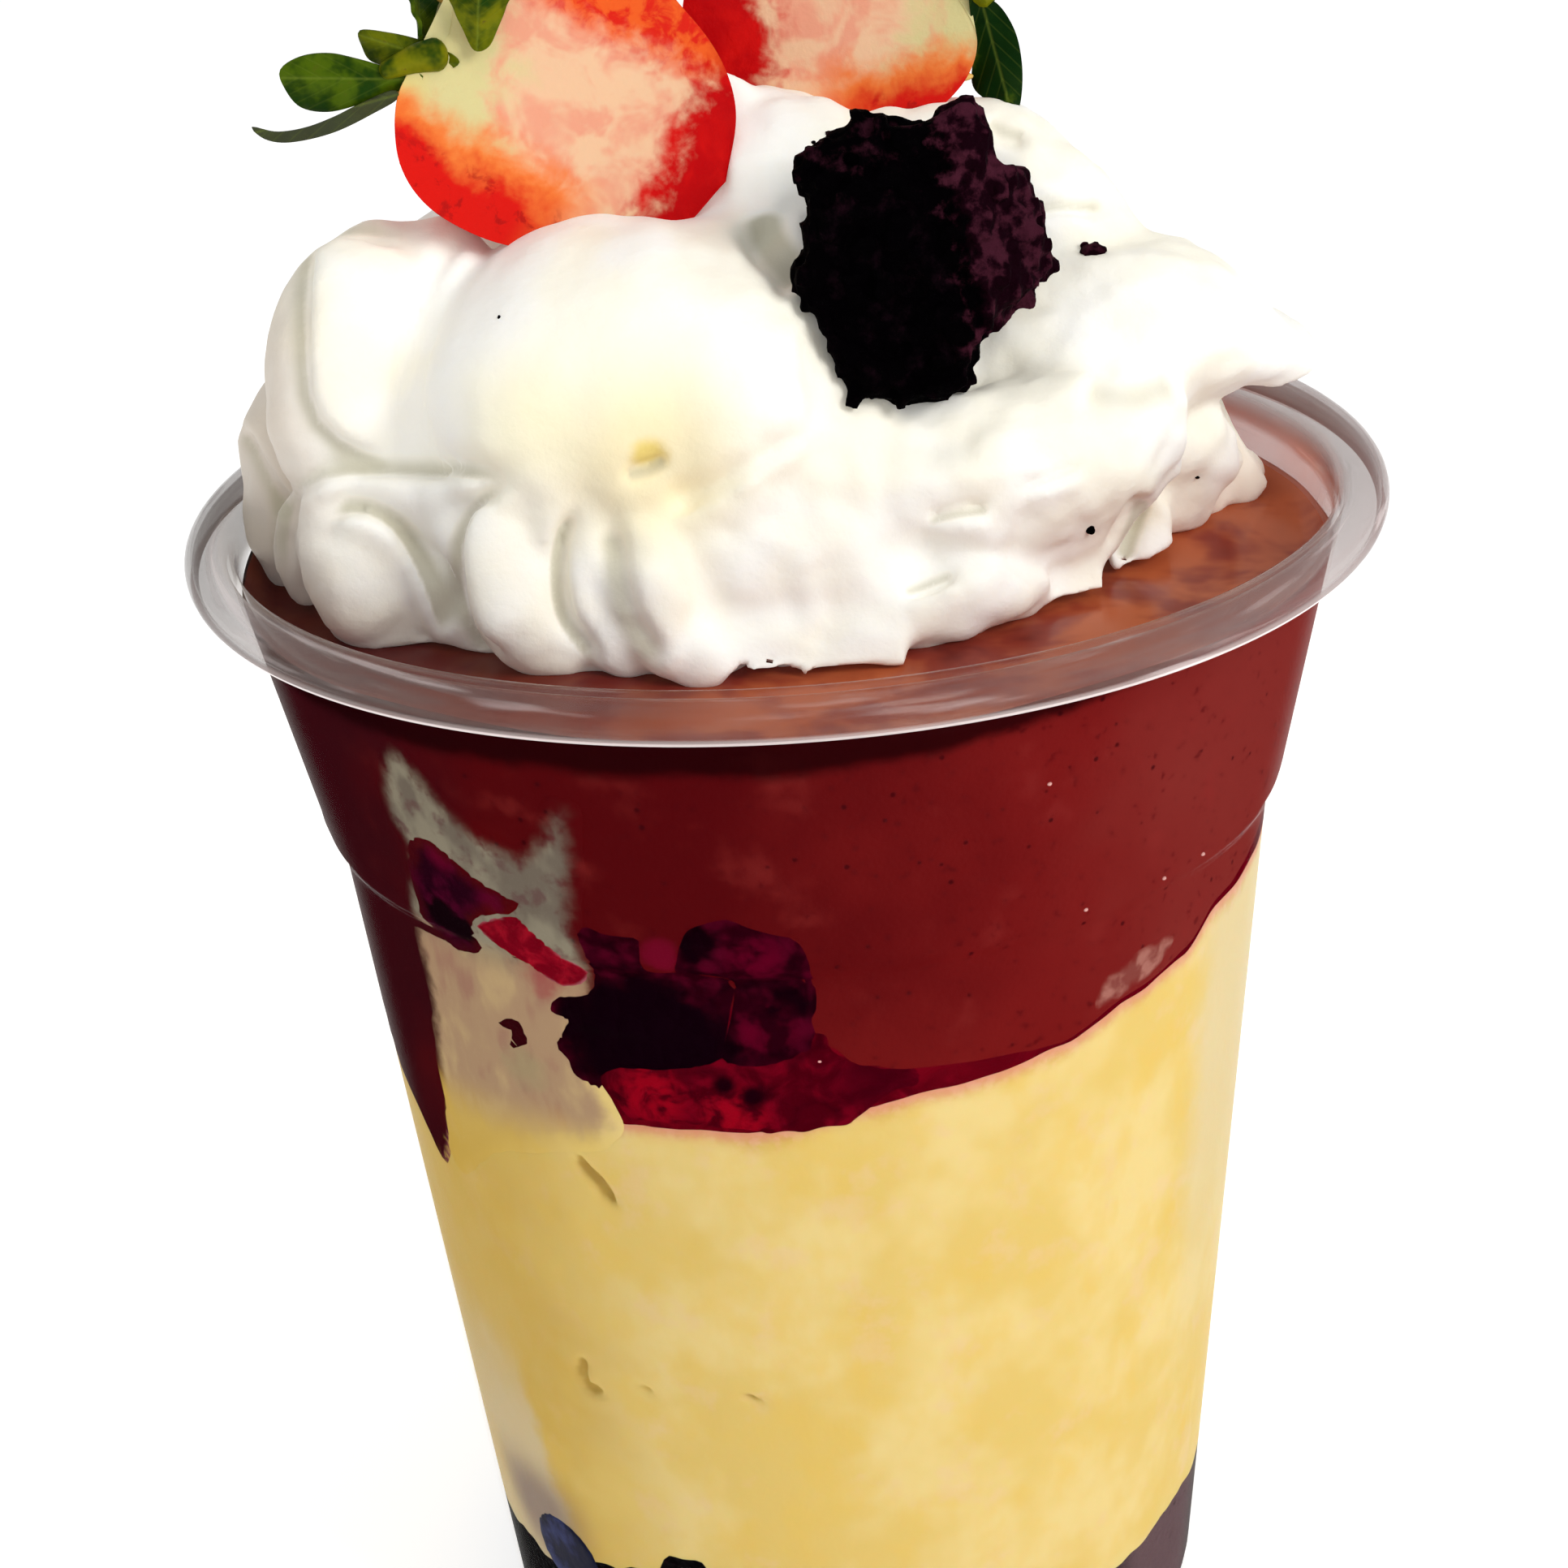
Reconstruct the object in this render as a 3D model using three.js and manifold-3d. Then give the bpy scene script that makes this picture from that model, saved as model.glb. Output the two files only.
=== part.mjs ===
// Layered brownie dessert in a clear plastic cup, in millimetres, +Z up.
// The origin is the middle of the cup's foot. The front, -Y, is the side with the dark berries,
// the left strawberry is at -X and the brownie piece at +X.
import * as THREE from 'three';
import { mergeVertices } from 'three/addons/utils/BufferGeometryUtils.js';
import Module from 'manifold-3d';

const wasm = await Module();
wasm.setup();

// Driving dimensions
const cup = {
  height: 108,        // foot to the top of the lip
  rimRadius: 49,      // outside of the rolled lip
  wall: 0.6,
  footRadius: 28.5,
  puntRadius: 23.6,   // raised middle of the base
  puntHeight: 1.6,
  cornerTop: 4.4,     // where the rounded bottom corner meets the wall
  stepBottom: 81.2,   // the stacking shoulder runs round the cup here
  stepTop: 83.4,
  stepWidth: 1.05,
  wallAtShoulder: 39.54,   // outside radius just under the shoulder
  lipRadius: 2.05,    // radius of the rolled edge
  lowerSlope: 0.1,    // widening of the wall for each millimetre up
  upperSlope: 0.211,
};
const sides = 40;       // facets round the cup and what fills it
const gap = 0.3;        // clearance between neighbouring pieces
const beyond = 50;      // any radius outside the cup's wall
const moussePlane = 100.6;   // level of the mousse's top
const creamFoot = moussePlane + gap;

const brownieColour = 0x1d0a10;

const rad = (degrees) => (degrees * Math.PI) / 180;

// Solids and meshes

function toSolid(geometry) {
  geometry.deleteAttribute('normal');
  geometry.deleteAttribute('uv');
  const merged = mergeVertices(geometry, 1e-4);
  const mesh = new wasm.Mesh({
    numProp: 3,
    vertProperties: new Float32Array(merged.attributes.position.array),
    triVerts: new Uint32Array(merged.index.array),
  });
  return new wasm.Manifold(mesh);
}

function toGeometry(solid) {
  const mesh = solid.getMesh();
  const geometry = new THREE.BufferGeometry();
  geometry.setAttribute('position', new THREE.BufferAttribute(mesh.vertProperties, 3));
  geometry.setIndex(new THREE.BufferAttribute(mesh.triVerts, 1));
  geometry.computeVertexNormals();
  return geometry;
}

// Builds a geometry from a list of points and a list of triangles.
function fromTriangles(points, triangles) {
  const geometry = new THREE.BufferGeometry();
  geometry.setAttribute('position', new THREE.Float32BufferAttribute(points.flat(), 3));
  geometry.setIndex(triangles.flat());
  return geometry;
}

function joinAll(solids) {
  return solids.reduce((whole, solid) => whole.add(solid));
}

function cutAll(solid, cutters) {
  return cutters.reduce((rest, cutter) => rest.subtract(cutter), solid);
}

// Turns a profile of [radius, height] points about the upright axis.
function turned(profile) {
  const points = profile.map(([r, z]) => new THREE.Vector2(r, z));
  return toSolid(new THREE.LatheGeometry(points, sides).rotateX(Math.PI / 2));
}

// Repeatable noise between -1 and 1, for crumb and uneven fruit.
function noise(a, b, c) {
  const wave = Math.sin(a * 12.9898 + b * 78.233 + c * 37.719) * 43758.5453;
  return 2 * (wave - Math.floor(wave)) - 1;
}

// Periodic smooth reading of a list of [azimuth, height] pairs, azimuth in degrees.
function heightAround(list, azimuth) {
  const turn = ((azimuth % 360) + 360) % 360;
  const sorted = list
    .map(([a, z]) => [((a % 360) + 360) % 360, z])
    .sort((p, q) => p[0] - q[0]);
  let before = sorted[sorted.length - 1];
  let after = sorted[0];
  for (const entry of sorted) {
    if (entry[0] <= turn) before = entry;
  }
  for (let i = sorted.length - 1; i >= 0; i -= 1) {
    if (sorted[i][0] > turn) after = sorted[i];
  }
  const span = (after[0] - before[0] + 360) % 360 || 360;
  const part = ((turn - before[0] + 360) % 360) / span;
  return before[1] + (after[1] - before[1]) * THREE.MathUtils.smoothstep(part, 0, 1);
}

// Cup

function wallRadius(z) {
  const low = cup.wallAtShoulder + cup.lowerSlope * (z - cup.stepBottom);
  if (z < cup.stepBottom) return low;
  const high = low + cup.stepWidth + (cup.upperSlope - cup.lowerSlope) * (z - cup.stepTop);
  if (z > cup.stepTop) return high;
  return low + (cup.stepWidth * (z - cup.stepBottom)) / (cup.stepTop - cup.stepBottom);
}

// Outline of the wall from the bottom corner up to the lip, moved inwards by the given distance.
function wallOutline(inset, top) {
  const corner = wallRadius(cup.cornerTop) - cup.footRadius;
  const rounded = [20, 60].map((degrees) => [
    cup.footRadius + corner * Math.sin(rad(degrees)) - inset,
    inset + cup.cornerTop * (1 - Math.cos(rad(degrees))),
  ]);
  const heights = [cup.cornerTop + inset, cup.stepBottom, cup.stepTop, top];
  return [...rounded, ...heights.map((z) => [wallRadius(z) - inset, z])];
}

function makeCup() {
  const lipMiddle = [cup.rimRadius - cup.lipRadius, cup.height - cup.lipRadius];
  const arc = (radius, from, to, steps) => {
    const points = [];
    for (let i = 0; i <= steps; i += 1) {
      const angle = rad(from + ((to - from) * i) / steps);
      points.push([lipMiddle[0] + radius * Math.cos(angle), lipMiddle[1] + radius * Math.sin(angle)]);
    }
    return points;
  };
  const footRing = [[0, cup.puntHeight], [cup.puntRadius, cup.puntHeight],
    [cup.puntRadius + 1.2, 0], [cup.footRadius, 0]];
  const underLip = arc(cup.lipRadius - cup.wall, 180, -45, 5);
  const overLip = arc(cup.lipRadius, -45, 180, 5);
  const inside = wallOutline(cup.wall, lipMiddle[1] - 2).reverse();
  const floorHeight = cup.puntHeight + cup.wall;
  const floor = [[cup.footRadius - 1, cup.wall], [cup.puntRadius + 1.6, cup.wall],
    [cup.puntRadius + 0.4, floorHeight], [0, floorHeight]];
  return turned([...footRing, ...wallOutline(0, lipMiddle[1] - 2), ...underLip, ...overLip,
    ...inside, ...floor]);
}

// The space that the upper wall and the lip take, with the gap round them.
function lipClearance() {
  const inner = (z) => wallRadius(z) - cup.wall - gap;
  const lipMiddle = cup.rimRadius - cup.lipRadius;
  const top = cup.height + gap;
  const low = moussePlane - 4;
  const shoulder = cup.height - cup.lipRadius;
  const outside = beyond + 4;
  return turned([[inner(low), low], [outside, low], [outside, top], [lipMiddle, top],
    [lipMiddle - 1.5, top - 0.6], [inner(shoulder), shoulder], [inner(low), low]]);
}

// The whole inside of the cup up to a level above the mousse, less the gap to the wall.
function makeFill() {
  const top = moussePlane + 6;
  const bottom = cup.puntHeight + cup.wall + gap;
  const outline = wallOutline(cup.wall + gap, top).filter(([, z]) => z > bottom);
  return turned([[0, bottom], [outline[0][0] - 1, bottom], ...outline, [0, top]]);
}

// Layers

// Heights of the layer boundaries on the wall, as [azimuth, height]: -90 is the front, 0 is +X.
const baseTop = [[-168, 15.5], [-156, 18.6], [-140, 22.4], [-130, 21.4], [-117, 23.6], [-108, 22],
  [-95, 18.5], [-75, 15], [-45, 14.2], [-32, 15.6], [-10, 15.2], [35, 15], [70, 20], [110, 16],
  [150, 18]];
const custardTop = [[-165, 66], [-150, 62], [-137, 64], [-124, 70], [-117, 68], [-100, 68.2],
  [-85, 69.8], [-77, 70.6], [-62, 71.7], [-50, 73.6], [-42, 74.4], [-34, 77], [-10, 78],
  [25, 75], [60, 73.5], [90, 76.5], [125, 73], [155, 75]];
const jellyTop = [[-165, 71], [-150, 68], [-137, 74], [-124, 76.5], [-118, 80.5], [-106, 80.5],
  [-96, 79], [-89, 77], [-85, 74.6], [-80, 73], [-70, 72.6], [-55, 74.8], [-42, 76.2],
  [-34, 78.4], [-10, 80.5], [25, 79.5], [60, 76], [90, 81], [125, 78], [155, 79.5]];

// A boundary surface: it runs from the mean height in the middle to the given heights at the wall.
function boundary(list) {
  const mean = list.reduce((sum, [, z]) => sum + z, 0) / list.length;
  const wallAt = wallRadius(mean) - cup.wall - gap;
  return (azimuth, radius) => mean + ((heightAround(list, azimuth) - mean) * radius) / wallAt;
}

// The mousse's top rises and falls a little along the wall.
function mousseTop(azimuth, radius) {
  const wave = Math.sin(rad(azimuth) * 5) * 0.25 + Math.sin(rad(azimuth) * 11 + 1) * 0.12;
  return moussePlane + (wave * radius) / beyond;
}

// The space between two boundary surfaces, out past the wall. Facets are finer at the front.
function slab(lower, upper) {
  const rim = [];
  const step = 360 / sides;
  for (let azimuth = -180; azimuth < 180; azimuth += step) {
    rim.push(azimuth);
    if (azimuth > -160 && azimuth < -60) rim.push(azimuth + step / 2);
  }
  const count = rim.length;
  const points = [[0, 0, lower(0, 0)], [0, 0, upper(0, 0)]];
  const triangles = [];
  for (const azimuth of rim) {
    const [x, y] = [beyond * Math.cos(rad(azimuth)), beyond * Math.sin(rad(azimuth))];
    points.push([x, y, lower(azimuth, beyond)], [x, y, upper(azimuth, beyond)]);
  }
  for (let i = 0; i < count; i += 1) {
    const low = 2 + 2 * i;
    const nextLow = 2 + 2 * ((i + 1) % count);
    triangles.push([0, nextLow, low], [1, low + 1, nextLow + 1]);
    triangles.push([low, nextLow, nextLow + 1], [low, nextLow + 1, low + 1]);
  }
  return toSolid(fromTriangles(points, triangles));
}

const raised = (surface, by) => (azimuth, radius) => surface(azimuth, radius) + by;

// Pieces pressed against the wall

// Moves every edge of a closed outline of [azimuth, height] outwards by a distance.
function widened(outline, distance) {
  const perDegree = rad(1) * cup.wallAtShoulder;
  const flat = outline.map(([a, z]) => new THREE.Vector2(a * perDegree, z));
  const clockwise = THREE.ShapeUtils.area(flat) < 0 ? -1 : 1;
  return flat.map((point, i) => {
    const before = flat[(i + flat.length - 1) % flat.length];
    const after = flat[(i + 1) % flat.length];
    const inwards = point.clone().sub(before).normalize();
    const onwards = after.clone().sub(point).normalize();
    const bisector = new THREE.Vector2(inwards.y + onwards.y, -inwards.x - onwards.x);
    const sharpness = Math.max(bisector.lengthSq() / 2, 0.5);
    bisector.multiplyScalar((distance * clockwise) / sharpness);
    return [(point.x + bisector.x) / perDegree, point.y + bisector.y];
  });
}

// A plug from past the wall inwards to the given depth, with an outline of [azimuth, height].
function wallPlug({ outline, depth }, grown = 0) {
  const edge = grown > 0 ? widened(outline, grown) : outline;
  const flat = edge.map(([a, z]) => new THREE.Vector2(a, z));
  const faces = THREE.ShapeUtils.triangulateShape(flat, []);
  const clockwise = THREE.ShapeUtils.area(flat) < 0;
  const count = edge.length;
  const points = [];
  for (const inner of [false, true]) {
    for (const [azimuth, z] of edge) {
      const radius = inner ? wallRadius(z) - cup.wall - depth - grown : beyond + 2;
      points.push([radius * Math.cos(rad(azimuth)), radius * Math.sin(rad(azimuth)), z]);
    }
  }
  const triangles = [];
  for (const [a, b, c] of faces) {
    triangles.push([a, b, c], [c + count, b + count, a + count]);
  }
  for (let i = 0; i < count; i += 1) {
    const next = (i + 1) % count;
    const [near, far] = clockwise ? [next, i] : [i, next];
    triangles.push([near, near + count, far + count], [near, far + count, far]);
  }
  return toSolid(fromTriangles(points, triangles));
}

// Each has its outline on the wall and its depth behind it.
const creamPocket = {
  depth: 5,
  outline: [[-135.6, 99.2], [-133.4, 99.2], [-128, 94.8], [-124.5, 92.8], [-119.6, 91.6],
    [-117.2, 93.6], [-115.6, 97.6], [-113.2, 97.2], [-114.2, 91], [-116, 84.4], [-115.8, 80.6],
    [-121, 78.4], [-122.6, 73], [-118.4, 69.4], [-117, 68.2], [-124, 65.2], [-137, 61.6],
    [-146.6, 58], [-147.4, 61.9], [-141.2, 71.3], [-142.2, 80], [-134, 80.7], [-129.2, 83.7],
    [-131, 86], [-134.2, 91.6], [-137.6, 95.4]],
};
const mousseRun = {
  depth: 5,
  outline: [[-172, 84], [-138, 84], [-138, 72], [-145.5, 61.4], [-148.4, 57.6],
    [-151.2, 55.9], [-156.8, 58.9], [-166, 62.4], [-172, 70]],
};
const redSlice = {
  depth: 4,
  outline: [[-129.2, 84.7], [-125.7, 86], [-123, 84.9], [-119, 82.2], [-118.2, 80.5],
    [-119.6, 79.8], [-123.4, 80.8], [-127.6, 82.1]],
};
const berryAtLeft = {
  depth: 6,
  outline: [[-139.4, 86.4], [-136.4, 90.8], [-131.2, 90.4], [-127, 88], [-125.2, 86.6],
    [-129.8, 85.4], [-130, 82.6], [-133.4, 81.2], [-138.8, 81.4]],
};

function compass(radius, azimuth, z) {
  return new THREE.Vector3(radius * Math.cos(rad(azimuth)), radius * Math.sin(rad(azimuth)), z);
}

// A round fruit with a lumpy skin, of three half-sizes: across, towards the middle, and up.
function roundFruit({ azimuth, z, inset, half, lumps, detail }, grown = 0) {
  const geometry = new THREE.IcosahedronGeometry(1, detail);
  const place = geometry.attributes.position;
  const point = new THREE.Vector3();
  for (let i = 0; i < place.count; i += 1) {
    point.fromBufferAttribute(place, i);
    const ripple = Math.sin(point.x * 7) * Math.sin(point.y * 7 + 1) * Math.sin(point.z * 7 + 2);
    point.multiplyScalar(1 + lumps * ripple);
    point.set(point.x * (half[1] + grown), point.y * (half[0] + grown), point.z * (half[2] + grown));
    place.setXYZ(i, point.x, point.y, point.z);
  }
  const centre = compass(wallRadius(z) - cup.wall - inset, azimuth, z);
  geometry.rotateZ(rad(azimuth)).translate(centre.x, centre.y, centre.z);
  return toSolid(geometry);
}

const fruits = {
  dark_berry_front: { azimuth: -98.4, z: 80.2, inset: 3.8, half: [6.3, 7, 7.1], lumps: 0.09, detail: 2 },
  dark_berry_side: { azimuth: -111.5, z: 78, inset: 3.8, half: [7.4, 6.5, 5.2], lumps: 0.09, detail: 2 },
  blueberry_left: { azimuth: -139.5, z: 18.4, inset: 5.4, half: [6.2, 6, 5.6], lumps: 0, detail: 2 },
};

// Whipped cream

// A closed rounded roll along a smooth path; its radius follows the list of radii.
function roll({ path, radii, round = 8, steps = 4 }) {
  const curve = new THREE.CatmullRomCurve3(path.map((p) => new THREE.Vector3(...p)));
  const rings = steps + 1;
  const frames = curve.computeFrenetFrames(rings, false);
  const radiusAt = (t) => {
    const place = t * (radii.length - 1);
    const index = Math.min(Math.floor(place), radii.length - 2);
    return THREE.MathUtils.lerp(radii[index], radii[index + 1], place - index);
  };
  const points = [];
  const triangles = [];
  const endTurns = 0.3;   // how far the first and last ring stand inside the rounded end
  const startRadius = radii[0];
  const endRadius = radii[radii.length - 1];
  const start = curve.getPointAt(0).addScaledVector(frames.tangents[0], -startRadius * 0.75);
  points.push(start.toArray());
  for (let k = 0; k <= rings; k += 1) {
    const t = k / rings;
    const centre = curve.getPointAt(t);
    const atEnd = k === 0 || k === rings;
    const radius = radiusAt(t) * (atEnd ? 1 - endTurns : 1);
    if (k === 0) centre.addScaledVector(frames.tangents[k], -startRadius * 0.35);
    if (k === rings) centre.addScaledVector(frames.tangents[k], endRadius * 0.35);
    for (let j = 0; j < round; j += 1) {
      const angle = (2 * Math.PI * j) / round;
      const point = centre.clone()
        .addScaledVector(frames.normals[k], radius * Math.cos(angle))
        .addScaledVector(frames.binormals[k], radius * Math.sin(angle));
      points.push(point.toArray());
    }
  }
  const end = curve.getPointAt(1).addScaledVector(frames.tangents[rings], endRadius * 0.75);
  const last = points.push(end.toArray()) - 1;
  for (let j = 0; j < round; j += 1) {
    const next = (j + 1) % round;
    triangles.push([0, 1 + next, 1 + j]);
    for (let k = 0; k < rings; k += 1) {
      const here = 1 + k * round;
      const there = here + round;
      triangles.push([here + j, here + next, there + next]);
      triangles.push([here + j, there + next, there + j]);
    }
    triangles.push([last, last - round + j, last - round + next]);
  }
  return toSolid(fromTriangles(points, triangles));
}

// The piped border: each lobe as its azimuth, how far it reaches, half its width, its top and
// how far its middle leans round the cup.
const borderLobes = [
  { azimuth: 176, reach: 45.8, half: 6.6, top: 119, lean: 0.5 },
  { azimuth: -163.5, reach: 40, half: 5.9, top: 112.5, lean: 1.5 },
  { azimuth: -149, reach: 33.5, half: 4.4, top: 113, lean: 1.2 },
  { azimuth: -136, reach: 32.5, half: 4.3, top: 114, lean: 2.5 },
  { azimuth: -121.5, reach: 32, half: 3.5, top: 113.5, lean: 2.2 },
  { azimuth: 6, reach: 37, half: 6, top: 113, lean: 1 },
  { azimuth: 27, reach: 38.5, half: 6.3, top: 115, lean: 1.8 },
  { azimuth: 50, reach: 37.5, half: 6.3, top: 116, lean: 2 },
  { azimuth: 74, reach: 37, half: 6.4, top: 115.5, lean: 2 },
  { azimuth: 98, reach: 37.5, half: 6.3, top: 115, lean: 2 },
  { azimuth: 122, reach: 39, half: 6.4, top: 115.5, lean: 2 },
  { azimuth: 147, reach: 42, half: 6.5, top: 117, lean: 1.5 },
];

function borderLobe({ azimuth, reach, half, top, lean }) {
  const across = compass(1, azimuth + 90, 0);
  const at = (radius, sideways, z) =>
    compass(radius, azimuth, z).addScaledVector(across, sideways).toArray();
  return roll({
    path: [
      at(reach - half - 10, lean, top),
      at(reach - half - 1.5, -0.5 * lean, (top + 107) / 2),
      at(reach - half, -0.7 * lean, 105),
      at(reach - half - 1.2, 0.5 * lean, creamFoot - 0.5),
    ],
    radii: [half * 0.75, half, half, half * 0.75],
    round: 7,
    steps: 4,
  });
}

// The larger strokes piped over the border, each a path of its middle line and its radii.
const strokes = [
  { path: [[-3, 3, 99], [-2, 3, 110], [0, 4, 122], [1, 5, 131]],
    radii: [28, 26, 19, 10], round: 10, steps: 3 },
  // the upright stroke at the left
  { path: [[-33, -7, 109], [-34.2, -6, 117.5], [-32.4, -5, 125.4], [-25, -3, 127.6]],
    radii: [5.5, 6.6, 6, 4.6], round: 10 },
  // the broad smooth dome in front
  { path: [[-17, -12.5, 111], [-17.6, -10, 118], [-14, -6, 122], [-8, -3, 123]],
    radii: [8.6, 10.6, 10.4, 8], round: 12 },
  { path: [[-5, -13, 110], [-4.4, -11, 117], [-5, -6, 121], [-6, 0, 122]],
    radii: [9, 11.4, 11, 8], round: 12 },
  // lumpy folds low in the middle of the front
  { path: [[-12, -17, 110.5], [-4, -18.5, 111.5], [4, -17, 111.5], [9, -13, 110]],
    radii: [4.6, 5.4, 5, 4] },
  { path: [[-12.5, -20.5, 105.6], [-5, -24, 106.6], [2.5, -24.4, 106.2], [7.6, -21.5, 105.4]],
    radii: [4.8, 5.6, 5.8, 4.8] },
  { path: [[-10, -25.6, 102.6], [-1, -27.6, 102.4], [7.4, -25.4, 102.6]], radii: [2.6, 3.2, 3] },
  // the peak between the strawberries and the ridge behind it
  { path: [[1, 8, 122], [0, 6, 130], [-2, 4, 136.5], [-3, 3.6, 140.2]], radii: [12, 8, 4, 1], steps: 5 },
  { path: [[5, 9, 120], [11, 8, 128.5], [17.5, 7, 130.6], [22, 5, 127], [26, 4, 120]],
    radii: [10, 8, 5.6, 6, 7] },
  // the stroke that ends in the tip hanging out at the right
  { path: [[16, 2, 112], [26, 0, 116], [33, 0, 117.8], [40, 1, 115.2], [43, 1.2, 114]],
    radii: [12, 10.4, 7.4, 3, 1.4], round: 12 },
  // folds under the brownie piece
  { path: [[3, -10, 111], [12, -13.5, 110.5], [20, -11, 111], [27, -6, 112]], radii: [8, 7.6, 7.6, 7] },
  { path: [[8, -22, 102.6], [13.5, -20.5, 103.6], [18.6, -16.5, 102.8]],
    radii: [2.4, 3.3, 2.4], round: 8, steps: 3 },
  { path: [[11, -15, 110.5], [17, -17.5, 108.3], [22.5, -15.5, 106.8], [25.5, -11.5, 105]],
    radii: [3.4, 4.4, 4.6, 3.6] },
  { path: [[26.5, -5.5, 110], [29, -7.5, 106], [29.6, -7.6, 102]],
    radii: [3, 3.4, 2.6], round: 8, steps: 3 },
  { path: [[27, -1, 110], [33.5, -1.5, 107.5], [38, -1.2, 105.2], [40.6, -1, 104]],
    radii: [5.5, 3.8, 2, 0.8], round: 8, steps: 4 },
  // strokes over the back
  { path: [[-27, 6, 110], [-27, 9, 118], [-19, 10, 125], [-10, 9, 128]], radii: [8, 8.5, 8, 6] },
  { path: [[-16, 20, 110], [-10, 20, 118], [0, 16, 124.5], [6, 10, 128]], radii: [8, 8.6, 8, 6] },
  { path: [[8, 22, 109], [15, 18, 117], [19, 12, 122.5], [20, 6, 125]], radii: [8, 8.4, 7.6, 6] },
  { path: [[29, 10, 108], [30, 8, 115], [27, 3, 119]], radii: [7, 7, 6], steps: 3 },
];

// Strawberries

// Half a strawberry: a turned body, stem end first, cut through its axis. The cut face looks
// along "faces", and the axis runs along "points".
function strawberryHalf({ stem, points, faces, length, half }, grown = 0) {
  const outline = [[0, 0.06], [0.42, 0], [0.78, 0.07], [0.97, 0.22], [1, 0.38], [0.9, 0.58],
    [0.7, 0.77], [0.42, 0.93], [0, 1]];
  const [wide, long] = [half + grown, length + 2 * grown];
  const profile = outline.map(([r, t]) => new THREE.Vector2(r * wide, t * long - grown));
  const body = new THREE.LatheGeometry(profile, 22).rotateX(Math.PI / 2);
  body.scale(1, 1, -1);
  const place = body.attributes.position;
  for (let i = 0; i < place.count; i += 1) {
    const [x, y, z] = [place.getX(i), place.getY(i), place.getZ(i)];
    const lump = 1 + 0.05 * Math.sin(x * 0.35 + 1) * Math.cos(z * 0.4) + 0.03 * Math.sin(y * 0.6 + 2);
    place.setXYZ(i, x * lump, y * lump, z);
  }
  body.index.array.reverse();
  const knife = new THREE.BoxGeometry(90, 90, 90).translate(0, -45 - grown, 0);
  const down = new THREE.Vector3(...points).normalize().negate();
  const out = new THREE.Vector3(...faces).normalize();
  const across = new THREE.Vector3().crossVectors(out.clone().negate(), down).normalize();
  const back = new THREE.Vector3().crossVectors(down, across).normalize();
  const turn = new THREE.Matrix4().makeBasis(across, back, down).setPosition(...stem);
  const cutBody = toSolid(body).subtract(toSolid(knife));
  return toSolid(toGeometry(cutBody).applyMatrix4(turn));
}

const strawberries = {
  strawberry_left: { stem: [-24.3, -4, 147], points: [0.84, 0.02, -0.54], faces: [0.02, -0.93, 0.36],
    length: 25.5, half: 12.4 },
  strawberry_right: { stem: [17.5, 9.5, 145], points: [-0.97, 0.02, -0.12], faces: [0.04, -0.92, 0.38],
    length: 23.5, half: 10.5 },
};

// A leaf: a thin wavy strip along a path, with its width following a smooth bulge.
function leaf({ path, half, up, thick = 0.5, curl = 0.25 }) {
  const curve = new THREE.CatmullRomCurve3(path.map((p) => new THREE.Vector3(...p)));
  const steps = 5;
  const columns = [-1, 0, 1];
  const upwards = new THREE.Vector3(...up).normalize();
  const points = [];
  for (const face of [-0.5, 0.5]) {
    for (let k = 0; k <= steps; k += 1) {
      const t = k / steps;
      const centre = curve.getPointAt(t);
      const along = curve.getTangentAt(t);
      const across = new THREE.Vector3().crossVectors(upwards, along).normalize();
      const normal = new THREE.Vector3().crossVectors(along, across).normalize();
      const width = half * (0.16 + 0.84 * Math.pow(Math.sin(Math.PI * (0.1 + 0.86 * t)), 0.75));
      for (const column of columns) {
        const lift = curl * width * column * column + 0.3 * Math.sin(5 * t + 2 * column);
        const point = centre.clone()
          .addScaledVector(across, width * column)
          .addScaledVector(normal, lift + face * thick);
        points.push(point.toArray());
      }
    }
  }
  const row = columns.length;
  const layer = row * (steps + 1);
  const triangles = [];
  for (let k = 0; k < steps; k += 1) {
    for (let c = 0; c < row - 1; c += 1) {
      const a = k * row + c;
      triangles.push([a, a + 1, a + row + 1], [a, a + row + 1, a + row]);
      const b = a + layer;
      triangles.push([b, b + row + 1, b + 1], [b, b + row, b + row + 1]);
    }
  }
  const edge = [];
  for (let c = 0; c < row; c += 1) {
    edge.push(c);
  }
  for (let k = 1; k <= steps; k += 1) {
    edge.push(k * row + row - 1);
  }
  for (let c = row - 2; c >= 0; c -= 1) {
    edge.push(steps * row + c);
  }
  for (let k = steps - 1; k >= 1; k -= 1) {
    edge.push(k * row);
  }
  edge.forEach((a, i) => {
    const b = edge[(i + 1) % edge.length];
    triangles.push([a, b + layer, b], [a, a + layer, b + layer]);
  });
  return toSolid(fromTriangles(points, triangles));
}

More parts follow.
